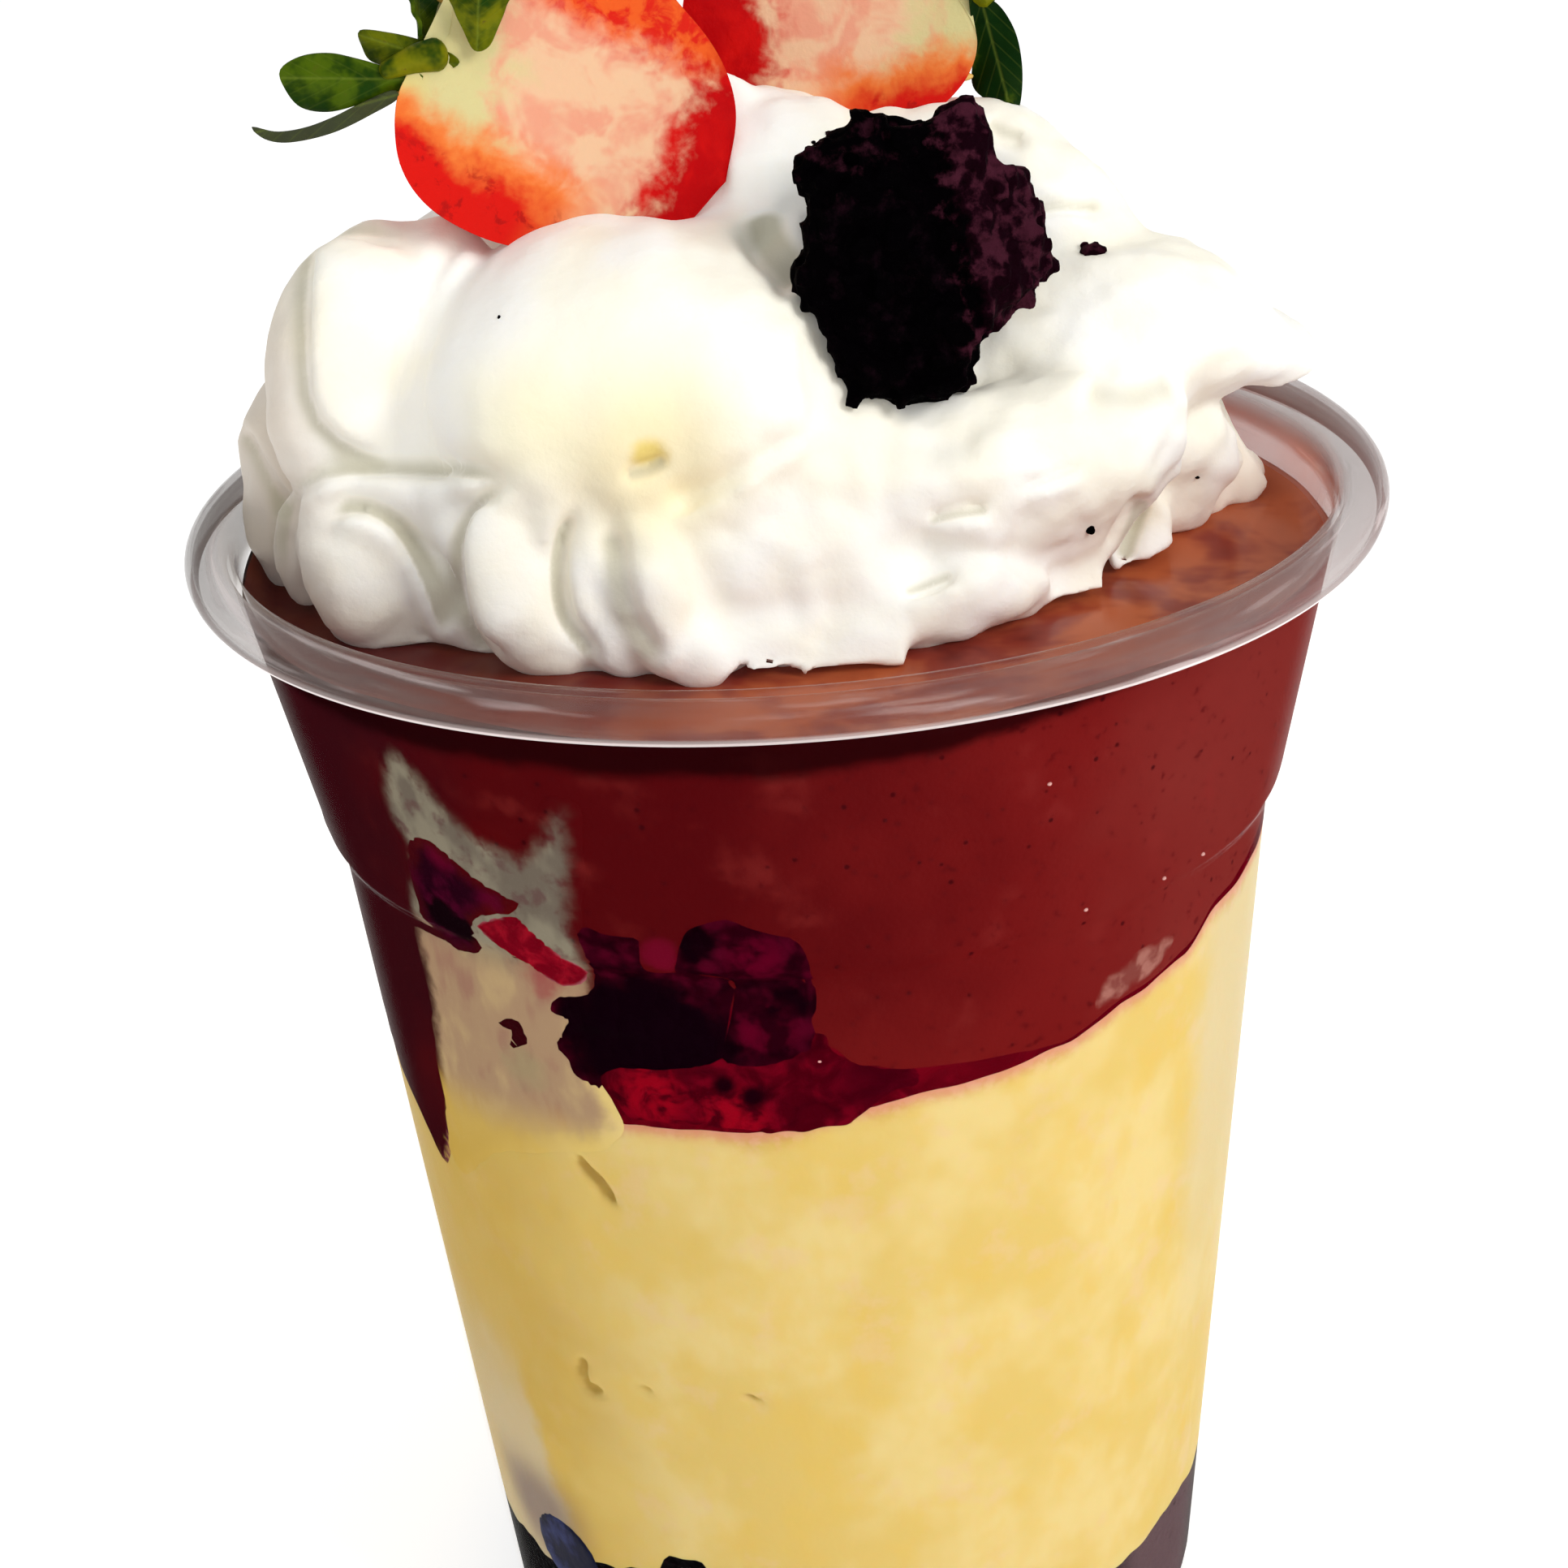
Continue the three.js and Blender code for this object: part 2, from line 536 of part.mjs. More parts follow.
const calyxes = {
  calyx_left: {
    hub: { path: [[-24.8, -5, 144.6], [-26.4, -5.4, 145]], radii: [2.2, 1.5], round: 7, steps: 1 },
    leaves: [
      { path: [[-25.6, -5.2, 143.8], [-29, -5.6, 143], [-32.6, -6, 143.4], [-36.2, -6.2, 144.2]],
        half: 2.4, up: [0.1, -0.9, 0.5] },
      { path: [[-25, -5, 145], [-27.4, -4.6, 146.2], [-30.2, -4.4, 146.8]], half: 1.7, up: [0, -0.8, 0.6] },
      { path: [[-26, -6, 143.8], [-29.6, -7, 141.4], [-33.6, -7.4, 140], [-38.4, -7.2, 140.8]],
        half: 0.9, up: [0, -0.7, 0.7] },
      { path: [[-24, -5, 145.4], [-22.4, -5.2, 148.6], [-20.6, -5.4, 153.6]], half: 2.3, up: [0.3, -1, 0] },
      { path: [[-25.4, -4.2, 145.6], [-27, -1, 148.4], [-28, 2.6, 150]], half: 1.8, up: [0.6, 0.5, 0.5] },
    ],
  },
  calyx_right: {
    hub: { path: [[18.6, 9.6, 144.6], [19.6, 9.6, 144.8]], radii: [2, 1.4], round: 7, steps: 1 },
    leaves: [
      { path: [[18.4, 8.4, 146.6], [19.8, 7.4, 144.4], [20.6, 6.8, 139.8], [20.6, 6.4, 135.2]],
        half: 2.1, up: [0.8, -0.8, 0.2] },
      { path: [[18.8, 9.4, 145], [18.8, 8.8, 149.4], [17, 8, 153.4]], half: 1.8, up: [1, -0.5, 0.2] },
      { path: [[19, 9.8, 145], [21.2, 12.6, 145.8], [23.6, 15.2, 143.8]], half: 1.7, up: [0.4, -0.3, 1] },
    ],
  },
};

// Brownie piece

const chunk = {
  top: [10.4, -8.6, 137],
  bottom: [9.8, -13, 117.6],
  topHalf: [8, 6.4],        // half width and half depth near the top
  bottomHalf: [4.4, 4.2],
  spur: 4.6,                // how far a shoulder stands out at the right
  spurHeight: 0.5,          // its place between the bottom and the top
  crumb: 0.7,               // height of the crumb relief
};

// The brownie piece, or the plain hollow that it sits in.
function browniePiece({ hollow = false } = {}) {
  const grown = hollow ? chunk.crumb + gap : 0;
  const facets = hollow ? [3, 3, 4] : [6, 5, 8];
  const box = new THREE.BoxGeometry(2, 2, 2, ...facets);
  const place = box.attributes.position;
  const from = (n, t) => THREE.MathUtils.lerp(chunk.bottom[n], chunk.top[n], t);
  const half = (n, t) => THREE.MathUtils.lerp(chunk.bottomHalf[n], chunk.topHalf[n], t) + grown;
  for (let i = 0; i < place.count; i += 1) {
    const [x, y, z] = [place.getX(i), place.getY(i), place.getZ(i)];
    const t = (z + 1) / 2;
    const swell = 1 + 0.2 * Math.sin(Math.PI * Math.min(t * 0.75 + 0.1, 1));
    const soft = 1 - 0.16 * x * x * y * y;
    const spur = x > 0 ? x * chunk.spur * Math.max(0, 1 - Math.abs(t - chunk.spurHeight) / 0.4) : 0;
    const crumb = hollow ? 0 : chunk.crumb;
    const grain = (n) => crumb * noise(Math.round(x * 9) + n, Math.round(y * 9), Math.round(z * 9));
    const end = Math.abs(z) > 0.99 ? Math.sign(z) * grown : 0;
    place.setXYZ(
      i,
      from(0, t) + x * half(0, t) * soft * swell + spur + grain(1),
      from(1, t) + y * half(1, t) * soft * swell + grain(5),
      from(2, t) - 1.6 * x * t + end + grain(9),
    );
  }
  return toSolid(box);
}

// Assembly

const fill = makeFill();
const inFill = (solid) => solid.intersect(fill);

const custardSurface = boundary(custardTop);
const jellySurface = boundary(jellyTop);
const baseSurface = boundary(baseTop);
const grownFruits = Object.fromEntries(
  Object.entries(fruits).map(([name, fruit]) => [name, roundFruit(fruit, gap)]),
);
const grownPocket = wallPlug(creamPocket, gap);
const grownSlice = wallPlug(redSlice, gap);
const grownBerry = wallPlug(berryAtLeft, gap);
const grownRun = wallPlug(mousseRun, gap);
const wallPieces = [grownSlice, grownBerry, grownFruits.dark_berry_front, grownFruits.dark_berry_side];

const level = (z) => () => z;
const baseCrumb = cutAll(inFill(slab(level(0), baseSurface)), [grownFruits.blueberry_left]);
const custard = cutAll(
  inFill(slab(raised(baseSurface, gap), custardSurface)),
  [grownPocket, grownRun, ...Object.values(grownFruits)],
);
const jelly = cutAll(
  inFill(slab(raised(custardSurface, gap), jellySurface)),
  [grownPocket, grownRun, ...wallPieces],
);
const mousse = cutAll(
  inFill(slab(raised(jellySurface, gap), mousseTop).add(wallPlug(mousseRun))),
  [grownPocket, ...wallPieces],
);
const darkBerrySide = cutAll(
  inFill(roundFruit(fruits.dark_berry_side)),
  [grownFruits.dark_berry_front, grownSlice],
);
const pocket = cutAll(inFill(wallPlug(creamPocket)), wallPieces);

const cream = cutAll(
  joinAll([...borderLobes.map(borderLobe), ...strokes.map(roll)]),
  [
    slab(level(0), raised(mousseTop, gap)),
    lipClearance(),
    browniePiece({ hollow: true }),
    ...Object.values(strawberries).map((berry) => strawberryHalf(berry, gap)),
  ],
);

const part = new THREE.Group();

function addPiece(name, solid, colour, roughness, extra = {}) {
  const material = new THREE.MeshStandardMaterial({ color: colour, roughness, metalness: 0, ...extra });
  const mesh = new THREE.Mesh(toGeometry(solid), material);
  mesh.name = name;
  part.add(mesh);
}

addPiece('cup', makeCup(), 0xe9eef0, 0.08, { transparent: true, opacity: 0.3 });
addPiece('base_crumb', baseCrumb, brownieColour, 0.95);
addPiece('custard', custard, 0xf2dc8e, 0.6);
addPiece('jelly', jelly, 0x6e0f24, 0.3);
addPiece('mousse', mousse, 0x6f2421, 0.65);
addPiece('cream_pocket', pocket, 0xb9b59c, 0.7);
addPiece('strawberry_slice', inFill(wallPlug(redSlice)), 0xa0202f, 0.4);
addPiece('dark_berry_left', inFill(wallPlug(berryAtLeft)), 0x3a0a20, 0.4);
addPiece('dark_berry_front', inFill(roundFruit(fruits.dark_berry_front)), 0x4a0a1c, 0.35);
addPiece('dark_berry_side', darkBerrySide, 0x16050c, 0.35);
addPiece('blueberry_left', inFill(roundFruit(fruits.blueberry_left)), 0x232a52, 0.5);
addPiece('whipped_cream', cream, 0xfdfbf2, 0.55);
addPiece('brownie_piece', browniePiece(), brownieColour, 0.95);
for (const [name, berry] of Object.entries(strawberries)) {
  addPiece(name, strawberryHalf(berry), 0xd83a26, 0.4);
}
for (const side of ['left', 'right']) {
  const calyx = calyxes[`calyx_${side}`];
  const leaves = joinAll([roll(calyx.hub), ...calyx.leaves.map(leaf)]);
  const berry = strawberryHalf(strawberries[`strawberry_${side}`], gap);
  addPiece(`calyx_${side}`, leaves.subtract(berry), 0x2f6b22, 0.5);
}

export default part;
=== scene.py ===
import math
import random

import bpy
import numpy as np
from mathutils import Euler, Matrix, Vector, noise


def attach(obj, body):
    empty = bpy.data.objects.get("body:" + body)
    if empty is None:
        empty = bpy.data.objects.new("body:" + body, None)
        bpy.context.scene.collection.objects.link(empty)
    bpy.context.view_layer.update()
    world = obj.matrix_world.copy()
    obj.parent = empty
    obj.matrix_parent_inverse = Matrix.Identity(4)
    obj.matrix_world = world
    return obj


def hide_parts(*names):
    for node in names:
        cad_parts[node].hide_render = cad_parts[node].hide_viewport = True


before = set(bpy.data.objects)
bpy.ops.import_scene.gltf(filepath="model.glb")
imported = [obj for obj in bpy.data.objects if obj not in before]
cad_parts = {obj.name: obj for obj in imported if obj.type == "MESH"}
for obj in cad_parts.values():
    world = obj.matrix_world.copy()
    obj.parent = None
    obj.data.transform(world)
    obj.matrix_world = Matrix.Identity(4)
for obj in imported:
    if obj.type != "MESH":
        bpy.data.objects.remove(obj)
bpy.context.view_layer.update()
mm = 0.001   # every size below is in millimetres

print("frame loaded")


# The photo's view, for the camera and for places read off the photo in its own pixels

camera = {"across": -1.7, "height": 80.17, "distance": 277.44, "elevation": 23.81, "roll": -4.1,
          "focalPixels": 4000, "framePixels": 1932, "sensor": 36}
middlePixel = camera["framePixels"] / 2
lift = math.radians(camera["elevation"])
roll = math.radians(camera["roll"])
back = Vector((0, -math.cos(lift), math.sin(lift)))
levelLine = Vector((1, 0, 0))
upright = back.cross(levelLine)
sideways = math.cos(roll) * levelLine + math.sin(roll) * upright
upwards = -math.sin(roll) * levelLine + math.cos(roll) * upright
turn = Matrix((sideways, upwards, back)).transposed()
viewAt = Vector((camera["across"], 0, camera["height"])) + back * camera["distance"]


def ray(x, y):
    along = sideways * (x - middlePixel) - upwards * (y - middlePixel) - back * camera["focalPixels"]
    return along.normalized()


def seenAt(x, y, depth):
    # the point of the upright plane at that depth which the photo shows at pixel x, y
    along = ray(x, y)
    return viewAt + along * ((depth - viewAt.y) / along.y)


def pixelsOf(points):
    # where the photo shows each point, and how many pixels a millimetre takes there
    offset = points - np.array(viewAt)
    away = offset @ np.array(-back)
    scale = camera["focalPixels"] / away
    return (middlePixel + scale * (offset @ np.array(sideways)),
            middlePixel - scale * (offset @ np.array(upwards)), scale)


def onWall(x, y):
    # the first point of the cup's wall that the photo shows at pixel x, y
    far = np.linspace(camera["distance"] - 80, camera["distance"] + 60, 1401)
    points = np.array(viewAt) + far[:, None] * np.array(ray(x, y))
    hit = np.argmax(np.hypot(points[:, 0], points[:, 1]) <= wallRadius(points[:, 2]))
    return points[hit]


def inWall(x, y, deep):
    # the same point, that deep below the wall's outer face
    point = onWall(x, y)
    return point * (1 - deep / np.hypot(point[0], point[1]) * np.array([1, 1, 0]))


flatRadius = 40     # the wall is laid flat at this radius while something on it is drawn


def onSheet(x, y):
    point = onWall(x, y)
    return math.atan2(point[1], point[0]) * flatRadius, float(point[2])


sheetPixels = 15    # pixels for each millimetre of a sheet that is drawn flat in the photo's plane


def drawn(seen):
    return np.array(seen) * (1, -1) / sheetPixels


def sheetSeen(points):
    return points[:, 0] * sheetPixels, -points[:, 2] * sheetPixels


def stood(x, y, depths):
    # the drawn points, each at its depth
    return np.array([seenAt(*place) for place in zip(x, y, depths)])


def onPiece(piece, x, y):
    bpy.context.view_layer.update()
    _, where, _, _ = piece.ray_cast(viewAt * mm, ray(x, y))
    return where / mm


# Handling of pieces

def choose(*pieces):
    # selects these pieces alone and makes the first one active
    bpy.ops.object.select_all(action="DESELECT")
    for piece in reversed(pieces):
        piece.select_set(True)
        bpy.context.view_layer.objects.active = piece


def named(name):
    piece = bpy.context.object
    piece.name = name
    piece.data.name = name
    return piece


def settle(piece):
    choose(piece)
    bpy.ops.object.transform_apply(location=True, rotation=True, scale=True)
    return piece


def modify(piece, kind, **settings):
    choose(piece)
    modifier = piece.modifiers.new(kind.title(), kind)
    for key, value in settings.items():
        setattr(modifier, key, value)
    bpy.ops.object.modifier_apply(modifier=modifier.name)


def joined(name, pieces):
    choose(*pieces)
    bpy.ops.object.join()
    return named(name)


def pointsOf(piece, what="co"):
    values = np.empty(len(piece.data.vertices) * 3)
    piece.data.vertices.foreach_get(what, values)
    return values.reshape(-1, 3) / mm


def normalsOf(piece):
    return pointsOf(piece, "normal") * mm


def movePoints(piece, rule):
    points = rule(pointsOf(piece))
    piece.data.vertices.foreach_set("co", (np.asarray(points) * mm).ravel())
    piece.data.update()
    return piece


def keep(piece, name, values):
    # stores one value or one vector for each point, for the finishes to read
    values = np.asarray(values, dtype=np.float32)
    kind = "FLOAT" if values.ndim == 1 else "FLOAT_VECTOR"
    attribute = piece.data.attributes.new(name, kind, "POINT")
    attribute.data.foreach_set("value" if kind == "FLOAT" else "vector", values.ravel())


def keepSame(piece, name, value):
    keep(piece, name, [value] * len(piece.data.vertices))


def polar(points):
    return np.degrees(np.arctan2(points[:, 1], points[:, 0])), np.hypot(points[:, 0], points[:, 1])


def widened(points, share, heights=None):
    # the points with their distances from the upright axis times the share
    z = points[:, 2] if heights is None else heights
    return np.stack([points[:, 0] * share, points[:, 1] * share, z], axis=1)


def heldInside(points, limit):
    radius = polar(points)[1]
    return widened(points, np.where(radius > limit, limit / radius, 1))


def cleaned(piece):
    choose(piece)
    bpy.ops.object.mode_set(mode="EDIT")
    bpy.ops.mesh.select_all(action="SELECT")
    bpy.ops.mesh.remove_doubles(threshold=0.001 * mm)
    bpy.ops.mesh.normals_make_consistent(inside=False)
    bpy.ops.object.mode_set(mode="OBJECT")
    return piece


def finished(piece, material, slotName, *nodes, angle=60):
    settle(piece)
    bpy.ops.object.shade_smooth_by_angle(angle=math.radians(angle))
    piece.data.materials.clear()
    piece.data.materials.append(material)
    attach(piece, "root")
    if nodes:
        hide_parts(*nodes)


def rise(low, high, value):
    share = np.clip((value - low) / (high - low), 0, 1)
    return share * share * (3 - 2 * share)


def smoothLine(points, count, closed=False):
    # evenly spaced points on a smooth line through the given ones
    points = np.asarray(points, dtype=float)
    if closed:
        around = np.vstack([points[-1:], points, points[:2]])
    else:
        around = np.vstack([2 * points[0] - points[1], points, 2 * points[-1] - points[-2]])
    fine = []
    for a, b, c, d in zip(around, around[1:], around[2:], around[3:]):
        for t in np.linspace(0, 1, 24, endpoint=False):
            fine.append(0.5 * (2 * b + (c - a) * t + (2 * a - 5 * b + 4 * c - d) * t * t
                               + (3 * b - a - 3 * c + d) * t ** 3))
    fine.append(points[0] if closed else points[-1])
    fine = np.array(fine)
    steps = np.linalg.norm(np.diff(fine[:, :3], axis=0), axis=1)
    along = np.concatenate([[0], np.cumsum(steps)])
    wanted = np.linspace(0, along[-1], count, endpoint=not closed)
    return np.stack([np.interp(wanted, along, fine[:, n]) for n in range(fine.shape[1])], axis=1)


def nearestOn(flat, line):
    # how far each flat point is from the line, on which side of it and at which share of the way
    nearest = np.full(len(flat), 1e6)
    side, part = np.zeros(len(flat)), np.zeros(len(flat))
    for n, (start, end) in enumerate(zip(line, line[1:])):
        along = end - start
        offset = flat - start
        share = np.clip(offset @ along / (along @ along), 0, 1)
        apart = np.hypot(*(offset - share[:, None] * along).T)
        closer = apart < nearest
        nearest = np.where(closer, apart, nearest)
        side = np.where(closer, np.sign(along[0] * offset[:, 1] - along[1] * offset[:, 0]), side)
        part = np.where(closer, (n + share) / (len(line) - 1), part)
    return nearest, side, part


def grain(points, size, seed):
    # repeatable smooth noise between about -1 and 1 at each point
    shift = Vector((7.31, 3.17, 5.77)) * seed
    return np.array([noise.noise(Vector(p) / size + shift) for p in points])


def spun(name, profile, segments):
    # turns a line of radius and height round the upright axis
    first = profile[0]
    bpy.ops.mesh.primitive_plane_add(size=mm, location=(first[0] * mm, 0, first[1] * mm))
    bpy.ops.object.mode_set(mode="EDIT")
    bpy.ops.mesh.merge(type="CENTER")
    for (r0, z0), (r1, z1) in zip(profile, profile[1:]):
        move = ((r1 - r0) * mm, 0, (z1 - z0) * mm)
        bpy.ops.mesh.extrude_vertices_move(TRANSFORM_OT_translate={"value": move})
    bpy.ops.mesh.select_all(action="SELECT")
    bpy.ops.mesh.spin(steps=segments, angle=math.tau, center=(0, 0, 0), axis=(0, 0, 1))
    bpy.ops.object.mode_set(mode="OBJECT")
    return cleaned(settle(named(name)))


def copies(name, source, places):
    # one mesh with a copy of the source at each place, as a matrix in millimetres
    points = pointsOf(source)
    faces = [tuple(face.vertices) for face in source.data.polygons]
    allPoints = []
    allFaces = []
    for place in places:
        turn = np.array(place)
        start = len(allPoints) * len(points)
        allPoints.append(points @ turn[:3, :3].T + turn[:3, 3])
        allFaces += [tuple(start + corner for corner in face) for face in faces]
    mesh = bpy.data.meshes.new(name)
    mesh.from_pydata((np.vstack(allPoints) * mm).tolist(), [], allFaces)
    piece = bpy.data.objects.new(name, mesh)
    bpy.context.scene.collection.objects.link(piece)
    bpy.data.objects.remove(source)
    return piece


def placed(where, turn=(0, 0, 0), size=(1, 1, 1)):
    scale = Matrix.Diagonal((*size, 1))
    return Matrix.Translation(where) @ Euler(turn).to_matrix().to_4x4() @ scale


# Finishes

def sums(operation, swapped=False):
    def work(self, other):
        return self.sum(operation, other, self) if swapped else self.sum(operation, self, other)
    return work


class Level:
    # a socket that varies over a surface, for writing sums with plain signs
    def __init__(self, tree, socket):
        self.tree = tree
        self.socket = socket

    def feed(self, socket, value):
        if isinstance(value, Level):
            self.tree.links.new(value.socket, socket)
        else:
            socket.default_value = value

    def sum(self, operation, first, second):
        made = self.tree.nodes.new("ShaderNodeMath")
        made.operation = operation
        self.feed(made.inputs[0], first)
        self.feed(made.inputs[1], second)
        return Level(self.tree, made.outputs[0])

    __add__, __radd__ = sums("ADD"), sums("ADD", True)
    __sub__, __rsub__ = sums("SUBTRACT"), sums("SUBTRACT", True)
    __mul__, __rmul__ = sums("MULTIPLY"), sums("MULTIPLY", True)
    __truediv__, __pow__ = sums("DIVIDE"), sums("POWER")

    def other(self, name):
        return Level(self.tree, self.socket.node.outputs[name])


def paint(colour):
    # a colour as seen on a screen, 0 to 255, turned into the light values that shaders take
    def light(value):
        value /= 255
        return value / 12.92 if value < 0.04045 else ((value + 0.055) / 1.055) ** 2.4
    return (*(light(value) for value in colour), 1)


class Finish:
    def __init__(self, name):
        self.material = bpy.data.materials.new(name)
        self.material.use_nodes = True
        self.tree = self.material.node_tree
        self.tree.nodes.clear()
        here = self.node("ShaderNodeTexCoord", {}, {}, "Object")
        self.place = self.vector("SCALE", {"Vector": here, "Scale": 1 / mm})

    def node(self, kind, settings, sockets, output=0):
        made = self.tree.nodes.new(kind)
        for key, value in settings.items():
            setattr(made, key, value)
        result = Level(self.tree, made.outputs[output])
        for key, value in sockets.items():
            result.feed(made.inputs[key], value)
        return result

    def vector(self, operation, sockets, output="Vector"):
        return self.node("ShaderNodeVectorMath", {"operation": operation}, sockets, output)

    def maths(self, operation, sockets):
        return self.node("ShaderNodeMath", {"operation": operation}, sockets)

    def speckle(self, size, detail=3, rough=0.5, distort=0, at=None):
        # cloudy noise between 0 and 1, in patches of about this size
        return self.node("ShaderNodeTexNoise", {}, {
            "Vector": at or self.place, "Scale": 1 / size, "Detail": detail,
            "Roughness": rough, "Distortion": distort})

    def cells(self, size):
        # 0 in the middle of each bead and rising outwards
        return self.node("ShaderNodeTexVoronoi", {}, {"Vector": self.place, "Scale": 1 / size}, "Distance")

    def stretched(self, x, y, z, at=None):
        return self.vector("MULTIPLY", {0: at or self.place, 1: (x, y, z)})

    def parts(self, at=None):
        x = self.node("ShaderNodeSeparateXYZ", {}, {"Vector": at or self.place}, "X")
        return x, x.other("Y"), x.other("Z")

    def step(self, value, low, high):
        # 0 at low and 1 at high, with a smooth way between them
        return self.node("ShaderNodeMapRange", {"interpolation_type": "SMOOTHSTEP"},
                         {"Value": value, "From Min": low, "From Max": high})

    def blend(self, first, second, share):
        first, second = (paint(c) if isinstance(c, tuple) else c for c in (first, second))
        return self.node("ShaderNodeMix", {"data_type": "RGBA"}, {6: first, 7: second, 0: share}, 2)

    def coats(self, body, *coats):
        # the body colour with one colour after the other over it, each with its share
        for colour, share in coats:
            body = self.blend(body, colour, share)
        return body

    def kept(self, name, output="Fac"):
        return self.node("ShaderNodeAttribute", {"attribute_name": name}, {}, output)

    def apart(self, point):
        return self.vector("DISTANCE", {0: self.place, 1: tuple(point)}, "Value")

    def near(self, x, y, inside, outside, wobble=None):
        # 1 close to the place on the wall that the photo shows at pixel x, y, and 0 further off
        apart = self.apart(inWall(x, y, cup["wall"] - cup["reach"]))
        if wobble:
            apart = apart + 3 * (wobble - 0.5)
        return self.step(apart, outside, inside)

    def spots(self, wobble, *places):
        first, *others = [self.near(*place, wobble) for place in places]
        return sum(others, first)

    def relief(self, height, depth):
        return self.node("ShaderNodeBump", {}, {"Height": height, "Distance": depth * mm})

    def azimuth(self):
        # degrees round the cup: -90 is the front and 0 the right side
        x, y, _ = self.parts()
        return self.maths("ARCTAN2", {0: y, 1: x}) * math.degrees(1)

    def toward(self, azimuth):
        # 1 on this side of the cup, 0 a quarter turn from it and -1 on the other side
        x, y, _ = self.parts()
        turn = math.radians(azimuth)
        return (x * math.cos(turn) + y * math.sin(turn)) / (x * x + y * y) ** 0.5

    def surface(self, colour, rough, relief=None, gloss=0.5, more={}):
        # the relief is a height and its depth
        sockets = {"Base Color": colour, "Roughness": rough, "Specular IOR Level": gloss, **more}
        if relief:
            sockets["Normal"] = self.relief(*relief)
        return self.shown(self.node("ShaderNodeBsdfPrincipled", {}, sockets))

    def shown(self, shader):
        output = self.tree.nodes.new("ShaderNodeOutputMaterial")
        self.tree.links.new(shader.socket, output.inputs["Surface"])
        return self.material


# Cup

cup = {
    "height": 108,
    "rimRadius": 49,
    "wall": 0.6,
    "footRadius": 28.5,
    "puntRadius": 23.6,
    "puntHeight": 1.6,
    "cornerTop": 4.4,
    "stepBottom": 81.2,
    "stepTop": 83.4,
    "stepWidth": 1.05,
    "wallAtShoulder": 39.54,
    "lipRadius": 2.05,
    "lowerSlope": 0.1,
    "upperSlope": 0.211,
    "segments": 224,
    "reach": 0.3,     # how far the food reaches into the wall
}


def wallRadius(z):
    low = cup["wallAtShoulder"] + cup["lowerSlope"] * (z - cup["stepBottom"])
    widening = (cup["upperSlope"] - cup["lowerSlope"]) * np.maximum(z - cup["stepTop"], 0)
    return low + cup["stepWidth"] * rise(cup["stepBottom"], cup["stepTop"], z) + widening


def fillRadius(z):
    return wallRadius(z) - cup["wall"] + cup["reach"]


def wallOutline(inset, heights):
    corner = float(wallRadius(cup["cornerTop"])) - cup["footRadius"]
    line = []
    for degrees in range(10, 90, 10):
        turn = math.radians(degrees)
        line.append((cup["footRadius"] + corner * math.sin(turn) - inset,
                     inset + cup["cornerTop"] * (1 - math.cos(turn))))
    return line + [(float(wallRadius(z)) - inset, z) for z in heights]


def lipArc(radius, start, end):
    middle = (cup["rimRadius"] - cup["lipRadius"], cup["height"] - cup["lipRadius"])
    angles = np.radians(np.linspace(start, end, 14))
    return [(middle[0] + radius * math.cos(a), middle[1] + radius * math.sin(a)) for a in angles]


def makeCup():
    shoulder = np.linspace(cup["stepBottom"], cup["stepTop"], 8)
    outer = [4.7, 20, 40, 60, 75, 80.6, *shoulder, 84, 90, 97, 101, 103.95]
    inner = [outer[0] + 0.3, *outer[1:]]
    punt, high, foot, thick = cup["puntRadius"], cup["puntHeight"], cup["footRadius"], cup["wall"]
    below = [(0, high), (12, high), (punt - 0.5, high), (punt, high - 0.2), (punt + 1, 0.15),
             (punt + 1.3, 0), (foot - 0.4, 0), (foot + 0.5, 0.05)]
    above = [(foot - 1, thick), (punt + 1.6, thick), (punt + 0.4, high + thick), (0, high + thick)]
    profile = [*below, *wallOutline(0, outer), *lipArc(cup["lipRadius"] - thick, 180, -45),
               *lipArc(cup["lipRadius"], -45, 180), *wallOutline(thick, inner)[::-1], *above]
    return spun("clearCup", profile, cup["segments"])


